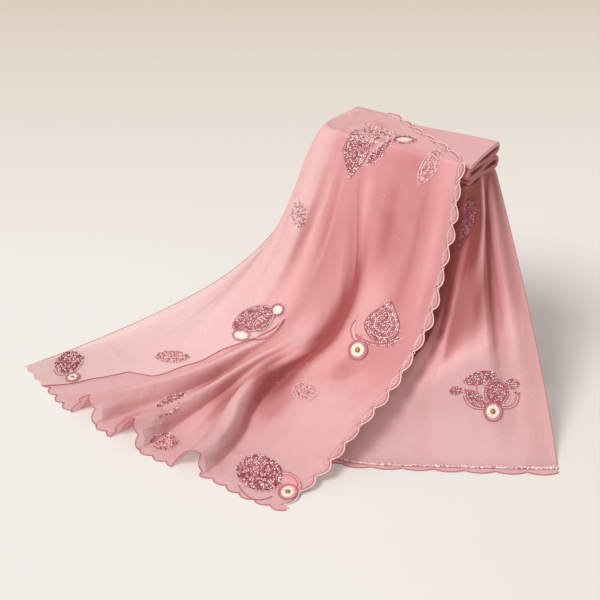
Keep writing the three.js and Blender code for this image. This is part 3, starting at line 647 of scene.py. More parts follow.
# %% [markdown]
# ## Thread, bead and pad materials
# The cords and pads are stitched thread, so a fine grain changes their colour and roughens
# them. Beads carry their own tone in a colour attribute, which lets one mesh hold silver, pearl
# and rose beads.

# %% Cord, bead and pad materials
def cord_material(name, colour, shade, roughness, metallic):
    """Stitched thread with a fine grain."""
    mat, shader, start = new_material(name, roughness, metallic, 0.2)
    place = start.node("ShaderNodeTexCoord", out=3)
    grain = start.node("ShaderNodeTexNoise", Vector=place, Scale=900.0, Detail=1.0)
    feed(start, grain.mix(rgb(*shade), rgb(*colour)), shader, "Base Color")
    feed(start, start.node("ShaderNodeBump", i0=0.5, i1=0.0004, Height=grain), shader, "Normal")
    return mat


ROSE_CORD = cord_material("rose_cord", (208, 108, 120), (168, 70, 86), 0.45, 0.0)
SILVER_CORD = cord_material("silver_cord", (255, 234, 228), (232, 184, 180), 0.35, 0.1)
EMBROIDERY = cord_material("embroidery_ground", (184, 104, 114), (140, 64, 78), 0.6, 0.0)
LEAF_GROUND = cord_material("leaf_ground", (232, 170, 175), (212, 146, 152), 0.7, 0.0)
WHITE_PAD = cord_material("white_pad", (246, 236, 226), (222, 200, 190), 0.5, 0.0)
GOLD = cord_material("gold_centre", (196, 150, 96), (140, 96, 58), 0.35, 0.6)

BEADS, bead_shader, bead_start = new_material("glass_beads", 0.22, 0.15)
feed(bead_start, bead_start.node("ShaderNodeAttribute", {"attribute_name": "tone"}),
     bead_shader, "Base Color")
bead_shader.inputs["Coat Weight"].default_value = 0.5
print("trim materials ready")

# %% Bead colours
SILVER, PEARL = (0.93, 0.72, 0.71, 1), (1.0, 0.90, 0.86, 1)
PINK, ROSE, WINE = (0.70, 0.32, 0.34, 1), (0.44, 0.11, 0.14, 1), (0.24, 0.035, 0.045, 1)
MIXED = (SILVER, SILVER, PEARL, PINK, PINK, ROSE)
BRIGHT, DARK = (SILVER, PEARL, PINK), (ROSE, PINK, WINE, SILVER)
print("bead tones:", len(MIXED), "mixed,", len(BRIGHT), "bright,", len(DARK), "dark")

# %% [markdown]
# ## From a net of points to a piece
# A cloth piece starts as a grid primitive with the right number of faces. Its points are moved
# onto the fall, its UV map is set in metres of cloth, and Solidify gives it a thickness. The
# result is a closed shell with two faces, one behind the other.

# %% Finishing any piece
def deselect():
    """Leave edit mode with nothing selected, because an operator acts on all that is."""
    if bpy.context.object and bpy.context.object.mode != "OBJECT":
        bpy.ops.object.mode_set(mode="OBJECT")
    bpy.ops.object.select_all(action="DESELECT")


def finish_piece(obj, mat, slot, *nodes):
    """Its material, its body, and the plain nodes that it replaces. The slot is not used."""
    obj.data.materials.clear()
    obj.data.materials.append(mat)
    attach(obj, "root")
    if nodes:
        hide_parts(*nodes)


print("piece helpers ready")

# %% Sheets
SHELL = 0.0007                       # thickness of a shell of cloth, in metres


def sheet_piece(name, P, N, cloth_size, mat, slot, nodes, alpha, depth, thick=SHELL, out=0.0):
    """A thin closed shell on the net P, moved out along its normals N."""
    rows, cols = P.shape[:2]
    deselect()
    bpy.ops.mesh.primitive_grid_add(x_subdivisions=cols - 1, y_subdivisions=rows - 1, size=1,
                                    location=(0, 0, 0))
    obj = bpy.context.object
    obj.name = obj.data.name = name
    co = np.empty(len(obj.data.vertices) * 3)
    obj.data.vertices.foreach_get("co", co)
    co = co.reshape(-1, 3)
    c = np.rint((co[:, 0] + 0.5) * (cols - 1)).astype(int)
    r = np.rint((co[:, 1] + 0.5) * (rows - 1)).astype(int)
    where = P[r, c] + N[r, c] * out - CENTRE
    obj.data.vertices.foreach_set("co", where.ravel())
    obj.data.uv_layers[0].name = "cloth"
    vertex = np.empty(len(obj.data.loops), int)
    obj.data.loops.foreach_get("vertex_index", vertex)
    uv = np.stack([c[vertex] / (cols - 1) * cloth_size[0],
                   r[vertex] / (rows - 1) * cloth_size[1]], -1)
    obj.data.uv_layers[0].data.foreach_set("uv", uv.ravel())
    for label, values in (("sheer", alpha), ("depth", np.clip(depth, 0, 1))):
        attribute = obj.data.attributes.new(label, "FLOAT", "POINT")
        attribute.data.foreach_set("value", values[r, c].ravel())
    obj.data.update()
    face = obj.data.polygons[len(obj.data.polygons) // 2]
    first = face.vertices[0]
    if face.normal.dot(N[r[first], c[first]].tolist()) < 0:
        bpy.ops.object.mode_set(mode="EDIT")
        bpy.ops.mesh.select_all(action="SELECT")
        bpy.ops.mesh.flip_normals()
        bpy.ops.object.mode_set(mode="OBJECT")
    shell = obj.modifiers.new("shell", "SOLIDIFY")
    shell.thickness, shell.offset = thick, 0.0
    bpy.ops.object.modifier_apply(modifier="shell")
    bpy.ops.object.shade_smooth_by_angle(angle=math.radians(60))
    finish_piece(obj, mat, slot, *nodes)
    return obj


print("a shell of cloth is", SHELL, "m thick")

# %% [markdown]
# ## Cords and beads
# A cord could be a swept mesh, but a curve with a round bevel does the same in a few lines and
# is then converted. Hundreds of beads share one ball: its points are copied to every bead's
# place, which is much quicker than adding a sphere for each.

# %% Cords
def tubes(name, lines, radius, mat, slot, nodes=()):
    """Round cords along lines of points, as one mesh."""
    curve = bpy.data.curves.new(name, "CURVE")
    curve.dimensions = "3D"
    curve.bevel_depth, curve.bevel_resolution = radius, 1
    curve.use_fill_caps = True
    for line in lines:
        spline = curve.splines.new("POLY")
        spline.points.add(len(line) - 1)
        points = np.concatenate([np.asarray(line) - CENTRE, np.ones((len(line), 1))], 1)
        spline.points.foreach_set("co", points.ravel())
    obj = bpy.data.objects.new(name, curve)
    bpy.context.scene.collection.objects.link(obj)
    deselect()
    obj.select_set(True)
    bpy.context.view_layer.objects.active = obj
    bpy.ops.object.convert(target="MESH")
    obj = bpy.context.object
    obj.name = obj.data.name = name
    bpy.ops.object.shade_smooth()
    finish_piece(obj, mat, slot, *nodes)


print("cords ready")

# %% Beads
def ball():
    """Points and faces of a unit ball, to be copied for every bead."""
    deselect()
    bpy.ops.mesh.primitive_ico_sphere_add(subdivisions=1, radius=1)
    obj = bpy.context.object
    points = np.array([v.co for v in obj.data.vertices])
    faces = np.array([p.vertices[:] for p in obj.data.polygons])
    bpy.ops.object.delete()
    return points, faces


BALL = ball()


def beads(name, centres, radii, tones):
    """Many small balls as one mesh, each with its own colour in the attribute tone."""
    points, faces = BALL
    n, k = len(centres), len(points)
    co = (np.asarray(centres) - CENTRE)[:, None] + points[None] * np.asarray(radii)[:, None, None]
    index = faces[None] + (np.arange(n) * k)[:, None, None]
    mesh = bpy.data.meshes.new(name)
    mesh.from_pydata(co.reshape(-1, 3).tolist(), [], index.reshape(-1, 3).tolist())
    tone = mesh.color_attributes.new("tone", "FLOAT_COLOR", "POINT")
    tone.data.foreach_set("color", np.repeat(np.asarray(tones), k, axis=0).ravel())
    mesh.shade_smooth()
    obj = bpy.data.objects.new(name, mesh)
    bpy.context.scene.collection.objects.link(obj)
    finish_piece(obj, BEADS, "beads")


print("ball for beads:", len(BALL[1]), "faces")

# %% [markdown]
# ## Camera, floor and light
# The sari stands on a pale floor that fills the view. It is painted a little darker and warmer
# to the right, where the sari's shadow lies, and to the back, where the light falls off.
# A sun with a wide disc stands in for a large softbox at the upper left: it lights the floor
# evenly and still gives a soft shadow.

# %% Camera
from mathutils import Vector

AWAY = 2.6                           # metres from the camera to the point it looks at
target = np.array([0.0, 0.0, 0.27]) - CENTRE
tilt = math.radians(30)
eye = target + AWAY * np.array([0, -math.cos(tilt), math.sin(tilt)])
deselect()
bpy.ops.object.camera_add(location=eye.tolist())
camera = bpy.context.object
camera.data.lens, camera.data.sensor_width = 85, 36
camera.rotation_euler = Vector((target - eye).tolist()).to_track_quat("-Z", "Y").to_euler()
bpy.context.scene.camera = camera
print("camera at", eye.round(3))

# %% Floor
bpy.ops.mesh.primitive_plane_add(size=14, location=(0, 0, 0))
floor = bpy.context.object
floor.name = floor.data.name = "floor"
mat, shader, start = new_material("floor_paper", 0.9)
place = start.node("ShaderNodeTexCoord", out=3)
split = start.node("ShaderNodeSeparateXYZ", i0=place)
to_right, to_back = split, Sock(start.tree, split.socket.node.outputs[1])
# Painted shade: a ramp to the right and one to the back, the larger of the two, darkens the floor.
painted_floor_shade = (to_right * 0.34 + 0.02).math("MAXIMUM", to_back * 0.48 - 0.16)
painted_floor_shade = start.node("ShaderNodeClamp", Value=painted_floor_shade)
feed(start, painted_floor_shade.mix(rgb(237, 236, 234), rgb(214, 204, 191)), shader, "Base Color")
floor.data.materials.append(mat)
floor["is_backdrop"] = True
print("floor:", floor.dimensions[0], "m wide, warmer to the right and the back")

# %% Lights
SUN_FROM = (-0.57, -0.60, 0.90)
deselect()
bpy.ops.object.light_add(type="SUN", location=(-2, -2, 3))
sun = bpy.context.object
sun.name = sun.data.name = "key_sun"
sun.data.energy, sun.data.angle, sun.data.color = 2.15, math.radians(22), (1.0, 0.99, 0.975)
sun.rotation_euler = Vector(SUN_FROM).to_track_quat("Z", "Y").to_euler()
world = bpy.context.scene.world or bpy.data.worlds.new("world")
bpy.context.scene.world = world
world.use_nodes = True
world.node_tree.nodes["Background"].inputs["Color"].default_value = (1.0, 0.95, 0.90, 1)
world.node_tree.nodes["Background"].inputs["Strength"].default_value = 0.56
bpy.context.scene.view_settings.view_transform = "Standard"
print("sun from", SUN_FROM)

# %% [markdown]
# ## The sheets of cloth
# Each stretch is a net of places (u, v) on its panel. Where two stretches lie on each other the
# upper one keeps a layer's distance.

# %% Nets on a panel
def cell_net(cloth, r, c, out=0.0):
    """Points and normals of a net of grid places, moved out along the normals."""
    P = cloth.at_cell(r.ravel(), c.ravel())
    N = cloth.at_cell(r.ravel(), c.ravel(), 1.0) - P
    return (P + N * out).reshape(*r.shape, 3), N.reshape(*r.shape, 3)


def net(cloth, U, V, out=0.0):
    """The same for a net of places (U, V)."""
    U, V = np.broadcast_arrays(np.asarray(U, float), np.asarray(V, float))
    r, c = cloth.cell(U.ravel(), V.ravel())
    return cell_net(cloth, r.reshape(U.shape), c.reshape(U.shape), out)


def column_net(cloth, c0, c1, r0, r1):
    """Points, normals, u and v of whole grid columns c0 to c1 and rows r0 to r1."""
    part = (slice(r0, r1 + 1), slice(c0, c1 + 1))
    V = np.repeat(cloth.V[r0:r1 + 1, None], c1 - c0 + 1, 1)
    return cloth.P[part], cloth.N[part], cloth.U[part], V


print("net helpers ready")

# %% [markdown]
# ## How sheer, and the painted light and shade
# Two attributes ride on the points of each sheet. One is the opacity: the gathered part by the
# bundle is several layers thick, and the hems are a single one. A closed shell has two faces
# that the light crosses, so each face gets the square root of the cloth's transparency. The
# other is painted light and shade. It is deep rose in the valleys of the folds, where light that
# bounces between layers of silk turns redder, deep on the sides turned away from the sun and
# pale where the sun falls. A renderer finds only part of that in thin shells, so this painted
# shade is worked out from the folds' shape and the sun's direction and touched up in soft spots.

# %% Painted shade of the folds
def length_of(P, axis):
    """Length of a net's longest line in that direction."""
    return float(np.linalg.norm(np.diff(P, axis=axis), axis=-1).sum(axis=axis).max())


def fold_painted_shade(P, N, reach=7):
    """Painted shade: 0 on the crests and where the sun falls, rising to 1 in the valleys and
    on the sides turned away from the sun.

    A valley is where a point lies below the chord between its neighbours, reach columns away;
    2 cm below it counts as a full fold."""
    lit = (N * (np.array(SUN_FROM) / np.linalg.norm(SUN_FROM))).sum(-1)
    pad = np.pad(P, ((0, 0), (reach, reach), (0, 0)), "edge")
    chord = (pad[:, 2 * reach:] + pad[:, :-2 * reach]) / 2 - P
    hollow = (chord * N).sum(-1) / 0.02
    return np.clip(0.62 - 0.85 * lit, 0, 0.5) + np.clip(hollow, -0.2, 0.45)


def painted_spots(U, V, spots):
    """Extra painted shade in soft spots: u, v, their radii, how much; below 0, painted light."""
    total = np.zeros(np.broadcast(U, V).shape)
    for u, v, ru, rv, amount in spots:
        total += amount * np.exp(-((U - u) / ru) ** 2 - ((V - v) / rv) ** 2)
    return total


def ramp(x, *pairs):
    """Smooth value of x through the pairs (x, value)."""
    return through([p[0] for p in pairs], [p[1] for p in pairs], x)


print("depth helpers ready")

# %% A sheet of cloth
NARROW = 20                          # a strip of fewer columns has no folds of its own


def at_places(value, U, V):
    """A function's values at the places (U, V), or the same number at all of them."""
    return value(U, V) if callable(value) else np.full(np.shape(U), float(value))


def cloth_sheet(name, P, N, U, V, cover, mat, slot, nodes, rests, out=0.0, held="draped",
                shaded=0.0):
    """A sheet of cloth. Its cover, the opacity of the cloth, and the extra painted shade it gets
    are numbers or functions of (u, v)."""
    wide, long = length_of(P, 1), length_of(P, 0)
    opacity = np.clip(at_places(cover, U, V), 0.02, 0.995)
    # Painted shade of the folds, from their shape and the sun's direction; narrow strips get none.
    folds = fold_painted_shade(P, N) if P.shape[1] > NARROW else np.zeros(P.shape[:2])
    obj = sheet_piece(name, P, N, (wide, long), mat, slot, nodes, out=out,
                      alpha=1 - np.sqrt(1 - opacity), depth=folds + at_places(shaded, U, V))


print("sheet helper ready")

# %% [markdown]
# ## The front fall
# The front fall is the largest sheet and carries the folds. Its painted shade, a small number per
# point, could be painted by hand in weight paint mode. Here it is written as smooth steps and a
# list of soft spots, so that it stays in place when the grid gets finer.

# %% Front fall
FRONT_PAINTED_SPOTS = [  # u, v, radius in u, radius in v, painted shade to add (below 0, painted light)
    (0.18, 0.12, 0.08, 0.09, 0.22), (0.16, 0.03, 0.06, 0.05, 0.15), (0.33, 0.585, 0.03, 0.05, 0.55),
    (0.51, 0.22, 0.04, 0.09, 0.6), (0.31, 0.43, 0.03, 0.07, -0.3), (0.25, 0.82, 0.09, 0.08, -0.25),
    (0.13, 0.45, 0.05, 0.1, 0.12), (0.18, 0.51, 0.06, 0.07, 0.22), (0.20, 0.19, 0.05, 0.06, 0.12),
    (0.37, 0.26, 0.06, 0.12, 0.22), (0.12, 0.22, 0.05, 0.1, 0.1), (0.245, 0.31, 0.022, 0.13, 0.6),
    (0.265, 0.45, 0.022, 0.07, 0.6), (0.29, 0.56, 0.02, 0.06, 0.5), (0.30, 0.64, 0.018, 0.05, 0.3),
    (0.395, 0.70, 0.024, 0.06, 0.5), (0.38, 0.77, 0.02, 0.04, 0.3), (0.235, -0.158, 0.05, 0.05, 0.25),
    (0.475, 0.72, 0.012, 0.08, 0.45), (0.53, 0.83, 0.016, 0.07, 0.45), (0.57, 0.90, 0.03, 0.04, 0.35),
    (0.33, 0.60, 0.014, 0.06, 0.4), (0.08, 0.7, 0.08, 0.2, -0.1), (0.31, 0.75, 0.02, 0.1, -0.3),
    (0.09, 0.13, 0.03, 0.08, -0.1)]
FRONT_HEM_V = 0.972                  # v where the hem's lobes start
hem_row = front.row(FRONT_HEM_V)


def front_cover(u, v):
    """Dense by the bundle, sheer at the hem and at the left edge."""
    down = ramp(v, (-0.4, 0.97), (0.15, 0.95), (0.5, 0.86), (0.8, 0.78), (1, 0.62))
    return down * ramp(u, (0, 1), (0.9, 1), (1, 0.62))


def front_painted_shade(u, v):
    """Painted shade: deeper in the gathered upper right part, painted lighter where the cloth
    runs out to the hem.
    """
    trail = -0.3 * ease((v - 0.68) / 0.12)
    gathered = 0.42 * ease((0.75 - v) / 0.4) * ease((0.78 - u) / 0.3)
    below_edge = 0.3 + 0.7 * ease((v + 0.06) / 0.16)
    return trail + gathered * below_edge + painted_spots(u, v, FRONT_PAINTED_SPOTS)


band = front.column("band")
cloth_sheet("front_fall_cloth", *column_net(front, band, front.cols - 1, 0, hem_row),
            front_cover, SILK, "silk", ("front_fall",), ["folded_bundle_cloth", "floor"],
            shaded=front_painted_shade)

# %% [markdown]
# ## The layers under and over the front fall
# The front fall is doubled: a narrower layer lies under it, and its left margin is turned over
# onto it as a flap. Both are cut from the same panel formula, between two lines of u that
# change with v, so they follow every fold of the cloth that they lie on.

# %% Layer under the front fall
v_under = np.linspace(0.09, 0.86, 60)[:, None]
u_ends = line_columns(FRONT, v_under[:, 0], 1)[0]
k_valley = sum(line[7] for line in FRONT["lines"][:5])      # the column of valley_3
u_right, u_left = u_ends[:, 2:3], u_ends[:, k_valley:k_valley + 1]
U = u_right + (u_left - u_right) * np.linspace(0, 1, 50)[None]
P, N = net(front, U, v_under)
cloth_sheet("front_under_cloth", P, N, U, np.broadcast_to(v_under, U.shape),
            lambda u, v: ramp(v, (0, 0.6), (0.86, 0.45)), SILK, "silk", ("front_under_layer",),
            ["front_fall_cloth"], out=-LAYER_STEP)

# %% Left flap
v_flap = np.concatenate([np.linspace(-0.25, 0.0, 12, endpoint=False),
                         np.linspace(0, 0.08, 12, endpoint=False),
                         np.linspace(0.08, 1.0, 60)])[:, None]
inner = ramp(v_flap, (-0.25, 0.42), (0.2, 0.41), (0.357, 0.387), (0.40, 0.375), (0.45, 0.391),
             (0.51, 0.438), (0.577, 0.528), (0.643, 0.574), (0.693, 0.621), (0.745, 0.649),
             (0.775, 0.684), (0.79, 0.745), (0.81, 0.768), (0.86, 0.798), (0.906, 0.838),
             (0.956, 0.857), (1, 0.895))
inner = inner + ease((v_flap - 0.6) / 0.3) * 0.004 * np.sin(60 * v_flap)
outer = ramp(v_flap, (-0.3, 0.94), (0.5, 0.95), (0.85, 0.985), (1, 1.0))
U = inner + (outer - inner) * np.linspace(0, 1, 60)[None]
P, N = net(front, U, v_flap)


def flap_cover(u, v):
    """Sheer all over. Near the bundle its inner edge fades out, lower down it is crisp."""
    down = ramp(v, (-0.3, 0.55), (0.5, 0.66), (1, 0.66))
    crisp = ease((v - 0.38) / 0.12)
    return down * (crisp + (1 - crisp) * ease(np.linspace(0, 4, 60)[None]))


def flap_painted_shade(u, v):
    """Painted light where it runs out, painted shade up by the bundle and along one fold line."""
    return -0.3 + 0.6 * ease((0.72 - v) / 0.35) + painted_spots(u, v, [(0.5, 0.22, 0.035, 0.1, 0.3)])


cloth_sheet("left_flap_cloth", P, N, U, np.broadcast_to(v_flap, U.shape), flap_cover,
            SILK_PAINTED_LIGHT, "silk", ("left_flap",), ["front_fall_cloth"], out=LAYER_STEP,
            shaded=flap_painted_shade)

# %% [markdown]
# ## The right and back falls
# The right fall hangs in the shade of the front one, so its upper left part is painted the
# deepest shade of all, with a copy of the silk whose painted shade is darker. Its free edge turns
# back a little way, which a narrow inner sheet shows. Its right margin is folded under, so there
# the cloth is double. The back fall is a plain sheer stretch.

# %% Right fall
RIGHT_HEM_V = 0.965                  # v where the hem's lobes start
RIGHT_PAINTED_SPOTS = [  # u, v, radius in u, radius in v, painted shade to add (below 0, painted light)
    (0.36, 0.45, 0.05, 0.03, 0.2), (0.60, 0.10, 0.06, 0.15, -0.9),
    (0.60, 0.34, 0.06, 0.1, 0.4), (0.92, 0.75, 0.05, 0.3, 0.15),
    (0.2, 0.7, 0.1, 0.2, -0.1)]


def right_cover(u, v):
    """Sheer, but dense up under the bundle."""
    sheer = (ramp(u, (0, 0.74), (0.3, 0.72), (0.6, 0.7), (1, 0.74))
             * ramp(v, (0, 1.25), (0.5, 1), (1, 0.85)))
    return np.maximum(sheer, 0.97 * ease((0.72 - v) / 0.25) * ease((0.99 - u) / 0.12))


def right_painted_shade(u, v):
    """Painted shade: deepest beside the front fall, whose shadow lies there, less so along the upper
    right edge and in the middle.
    """
    lower_end = 0.36 + 0.17 * ease((u - 0.24) / 0.14)
    beside = ((0.6 + 0.25 * ease((0.24 - v) / 0.08)) * ease((0.72 - u) / 0.3)
              * ease((lower_end - v) / 0.13))
    upper_right = 0.1 * ease((0.4 - v) / 0.12) * ease((u - 0.7) / 0.1) * ease((1 - u) / 0.06)
    middle = 0.35 * ease((0.53 - v) / 0.17) * ease((u - 0.26) / 0.12) * ease((1.05 - u) / 0.15)
    return 0.05 + beside + upper_right + middle + painted_spots(u, v, RIGHT_PAINTED_SPOTS)


cloth_sheet("right_fall_cloth",
            *column_net(right, 0, right.cols - 1, 0, right.row(RIGHT_HEM_V)),
            right_cover, SILK_PAINTED_SHADE, "silk", ("right_fall",), ["folded_bundle_cloth", "floor"],
            held="hung", shaded=right_painted_shade)

# %% Its edge turned back
TURNED_BACK = np.array([-0.82, 0.57, 0.0]) * 0.07      # 7 cm, to the left and the back
t = np.linspace(0, 1, 24)[None, :, None]
last = right.row(0.8)
edge = right.P[:last, :1]
P = edge + TURNED_BACK * t * ease(right.V[:last] / 0.06 + 0.3)[:, None, None]
N = np.broadcast_to(right.N[:last, :1], P.shape)
V = np.broadcast_to(right.V[:last, None], P.shape[:2])
# Dense, with painted shade that deepens up by the bundle, in the shade of the front fall.
cloth_sheet("right_fall_inner_cloth", P, N, 0 * V, V, 0.97, SILK_PAINTED_SHADE, "silk", ("right_fall",),
            ["folded_bundle_cloth"], held="hung",
            shaded=lambda u, v: 0.3 + 0.7 * ease((0.42 - v) / 0.1))

# %% Its margin folded under
def margin_cover(u, v):
    """Fades in from a wavy inner edge and out towards the hem."""
    wavy = ease((u - 0.72 - 0.05 * np.sin(7 * v)) / 0.16)
    return 0.5 * wavy * ease((0.95 - v) / 0.2) + 0.02


cloth_sheet("right_fold_cloth",
            *column_net(right, right.column("facet") + 3, right.cols - 1, right.row(0.03),
                        right.row(0.95)),
            margin_cover, SILK, "body_silk", ("right_fold_under",), ["right_fall_cloth"],
            out=-LAYER_STEP)

# %% Back fall
cloth_sheet("back_fall_cloth", *column_net(back, 0, back.cols - 1, 0, back.rows - 1),
            lambda u, v: ramp(u, (0, 0.6), (0.7, 0.55), (1, 0.4)), PLAIN, "body_silk",
            ("back_fall",), ["folded_bundle_cloth", "floor"], held="hung")

# %% [markdown]
# ## The folded bundle
# The rest of the sari is folded to and fro into a soft pile. Seen from its end the cloth runs
# like a snake, with round turns at the back and the front. One section line is made and swept
# along the bundle, and Solidify gives it the thickness of several layers.

# %% The pile's section
PITCH, PLY = BUNDLE_HEIGHT / 4, 0.0080      # from one ply to the next, and a ply's thickness


def snake(layers=4, reach=BUNDLE_WIDTH / 2 - 0.001, steps=26):
    """Section of the pile, (across, height) from the bottom end to the top front edge."""
    points, r = [], PITCH / 2
    for k in range(layers):
        z = RIDGE_TOP - BUNDLE_HEIGHT + PITCH * (k + 0.5)
        ends = (-reach + r + PLY / 2, reach - r - PLY / 2)
        a, b = ends if k % 2 == 0 else ends[::-1]
        points += [(a + (b - a) * t, z) for t in np.linspace(0, 1, steps)]
        if k < layers - 1:
            turn = 1 if b > a else -1
            points += [(b + turn * r * math.sin(q), z + r - r * math.cos(q))
                       for q in np.linspace(0, math.pi, 9)[1:-1]]
    return np.array(points)


section = snake()
print("section of", len(section), "points")

# %% Bundle
a_line = np.linspace(-BUNDLE_LENGTH / 2 + 0.002, BUNDLE_LENGTH / 2 - 0.002, 48)
S = np.linspace(0, 1, len(section))[:, None]
to_right = ease(a_line[None] / BUNDLE_LENGTH + 0.5) ** 2
wave = 0.0024 * np.sin(26 * S) * to_right * (S < 0.75)      # plies part a little at the right
P = np.empty((len(section), len(a_line), 3))
A = a_line[None] * (1 - 0.012 * (0.5 + 0.5 * np.sin(23 * S)))
P[..., :2] = plan(A, np.repeat(section[:, :1], len(a_line), 1))
up = (section[:, 1:] - RIDGE_TOP + BUNDLE_HEIGHT) / BUNDLE_HEIGHT
P[..., 2] = section[:, 1:] + wave + up ** 2.2 * (plump(A, section[:, :1]) - 0.003)
N = out_normals(P)
# Painted shade: 0.28 on the top ply and 0.88 on the plies below it, in the shade of the ply above.
obj = sheet_piece("folded_bundle_cloth", P, N, (BUNDLE_LENGTH, 0.6), BODY, "body_silk",
                  ("folded_bundle",), thick=PLY, alpha=np.full(P.shape[:2], 0.985),
                  depth=0.28 + 0.6 * (up < 0.8) + np.zeros(P.shape[:2]))
print("bundle", len(obj.data.polygons), "faces")

# %% [markdown]
# ## Scalloped borders
# The edges are cut in small lobes and bound with cord. A lobe is one hump of a sine: the strip
# of cloth reaches furthest in its middle and least at the notch. Lobes are spread evenly along
# the real length of the edge, so they stay the same size over the folds.

# %% Hems
PER_LOBE = 14                        # grid columns of one lobe


def even(points, n):
    """Index positions of n places evenly spread along a line of points."""
    steps = np.concatenate([[0], np.cumsum(np.linalg.norm(np.diff(points, axis=0), axis=1))])
    return np.interp(np.linspace(0, steps[-1], n), steps, np.arange(len(points)))


def lobes(n, count, notch):
    """How far the edge reaches at n places along it, for that many lobes."""
    t = np.linspace(0, count, n)
    return 1 - notch * (1 - np.abs(np.sin(np.pi * t)) ** 0.8)


def hem(cloth, name, count, notch, inner_v):
    """A lobed strip of cloth beyond the row at inner_v, bound with a cord."""
    node = name + "_border"
    n = count * PER_LOBE + 1
    r0, r1 = cloth.row(inner_v), cloth.rows - 1
    C = np.repeat(even(cloth.P[-1], n)[:, None], 5, 1)
    R = r0 + (r1 - r0) * lobes(n, count, notch)[:, None] * np.linspace(0, 1, 5)[None]
    P, N = cell_net(cloth, R, C)
    cloth_sheet(name + "_cloth", P, N, C, R, 0.66, SILK, "silk", (node,), ["floor"])
    edge = cell_net(cloth, R[:, -1:], C[:, -1:], 0.0004)[0][:, 0]
    tubes(name + "_cord", [edge], 0.0009, ROSE_CORD, "border", (node,))


hem(front, "front_hem", 28, 0.45, FRONT_HEM_V)
hem(right, "right_hem", 10, 0.5, RIGHT_HEM_V)

# %% [markdown]
# ## The side border
# The border down the right-hand side of the front fall is a band of its own, with deeper lobes.
# Where the cloth hangs, the band follows it. On the pile it would turn down over the edge, so
# there its points are blended to a strip that lies out flat, square to the edge.

# %% Places of the side border
SIDE_LOBES, SIDE_COLUMNS = 24, 6
LOBE_REACH = 0.017                   # how far the lobes lie out on the pile, in metres
first_row = front.row(-0.3)
n_side = SIDE_LOBES * PER_LOBE + 1
r_side = even(front.P[first_row:hem_row + 1, 0], n_side) + first_row
uneven = 0.88 + 0.12 * np.sin(0.11 * np.arange(n_side))      # no two lobes are quite alike
reach_side = lobes(n_side, SIDE_LOBES, 0.6) * uneven
R = np.repeat(r_side[:, None], SIDE_COLUMNS, 1)
v_side = np.interp(r_side, np.arange(front.rows), front.V)
on_pile = ease((-v_side - 0.005) / 0.05)[:, None]
edge_run = front.at(0.03, -0.02)[0] - front.at(0.03, -0.28)[0]
outward = np.array([-edge_run[1], edge_run[0], 0]) / np.hypot(*edge_run[:2])
outward *= np.sign(outward[:2] @ ACROSS)


def side_points(share, out=0.0):
    """Points of the side border: share 0 on the cloth's line, 1 at the lobes' tips. On the
    pile the lobes lie out flat, square to the edge."""
    P, N = cell_net(front, R[:, :share.shape[1]], band * (1 - share), out)
    flat, _ = cell_net(front, R[:, :share.shape[1]], band + 0 * share, out)
    lie = flat + outward * LOBE_REACH * share[..., None]
    lie[..., 2] += plump(*on_bundle(lie)) - plump(*on_bundle(flat))
    return P + (lie - P) * on_pile[..., None], N


print("side border:", n_side, "rows,", SIDE_LOBES, "lobes")

# %% Side border and its cords
share = reach_side[:, None] * np.linspace(0, 1, SIDE_COLUMNS)[None]
P, N = side_points(share)
C = band * (1 - share)
cloth_sheet("side_border_cloth", P, N, C, R, 0.8, BORDER, "silk", ("front_side_border",),
            ["front_fall_cloth"], shaded=0.35)


def side_line(inset, out):
    """A line along the side edge, inset by a share of the band's width."""
    return side_points(reach_side[:, None] - inset, out)[0][:, 0]


arches = 1 - np.abs(np.sin(np.pi * np.linspace(0, SIDE_LOBES, n_side)))
inner_arc = side_points((0.22 + 0.36 * arches)[:, None], 0.0007)[0][:, 0]
tubes("side_border_cords", [side_line(0.0, 0.0006)], 0.0011, SILVER_CORD, "border",
      ("front_side_border",))
tubes("side_border_inner_cords", [inner_arc], 0.0007, SILVER_CORD, "border", ("front_side_border",))
tubes("side_border_rose_cords", [side_line(0.17, 0.0007)], 0.0006, ROSE_CORD, "border",
      ("front_side_border",))

# %% Beads of the side border
bead_row = even(front.P[first_row:hem_row + 1, 0], SIDE_LOBES * 9) + first_row
zigzag = band * (0.70 + 0.12 * np.sin(np.arange(len(bead_row)) * 2.1))
beads("side_border_beads", front.at_cell(bead_row, zigzag, 0.0009),
      np.full(len(bead_row), 0.9 * MM),
      np.array((PEARL, SILVER, PINK))[rng.integers(0, 3, len(bead_row))])
print(len(bead_row), "beads on the side border")

# %% Cords on the flap and the plain edges
def edge_cord(name, cloth, U, V, out, radius):
    """One cord along the places (U, V) of a cloth."""
    tubes(name, [net(cloth, U, V, out)[0]], radius, ROSE_CORD, "border")


v_line = np.linspace(0.42, 1.0, 90)
flap_edge = np.interp(v_line, v_flap[:, 0], inner[:, 0])
edge_cord("flap_cords", front, flap_edge, v_line, LAYER_STEP + 0.0003, 0.0007)
edge_cord("edge_cords", front, 1.0, np.linspace(-0.28, 1.0, 140), 0.0004, 0.0006)
edge_cord("right_edge_cords", right, 1.0, np.linspace(0.02, 0.96, 80), 0.0004, 0.0006)
print("edge cords done")

# %% [markdown]
# ## Embroidered motifs
# A motif is drawn flat, as it looks from the front, with x to the right and y up from its
# middle. One unit of the drawing is 1.83 mm. Three small classes build on one another: the
# first lays drawn points on the curved cloth, the second collects cords and beads along them,
# and the third adds pads and makes the meshes.

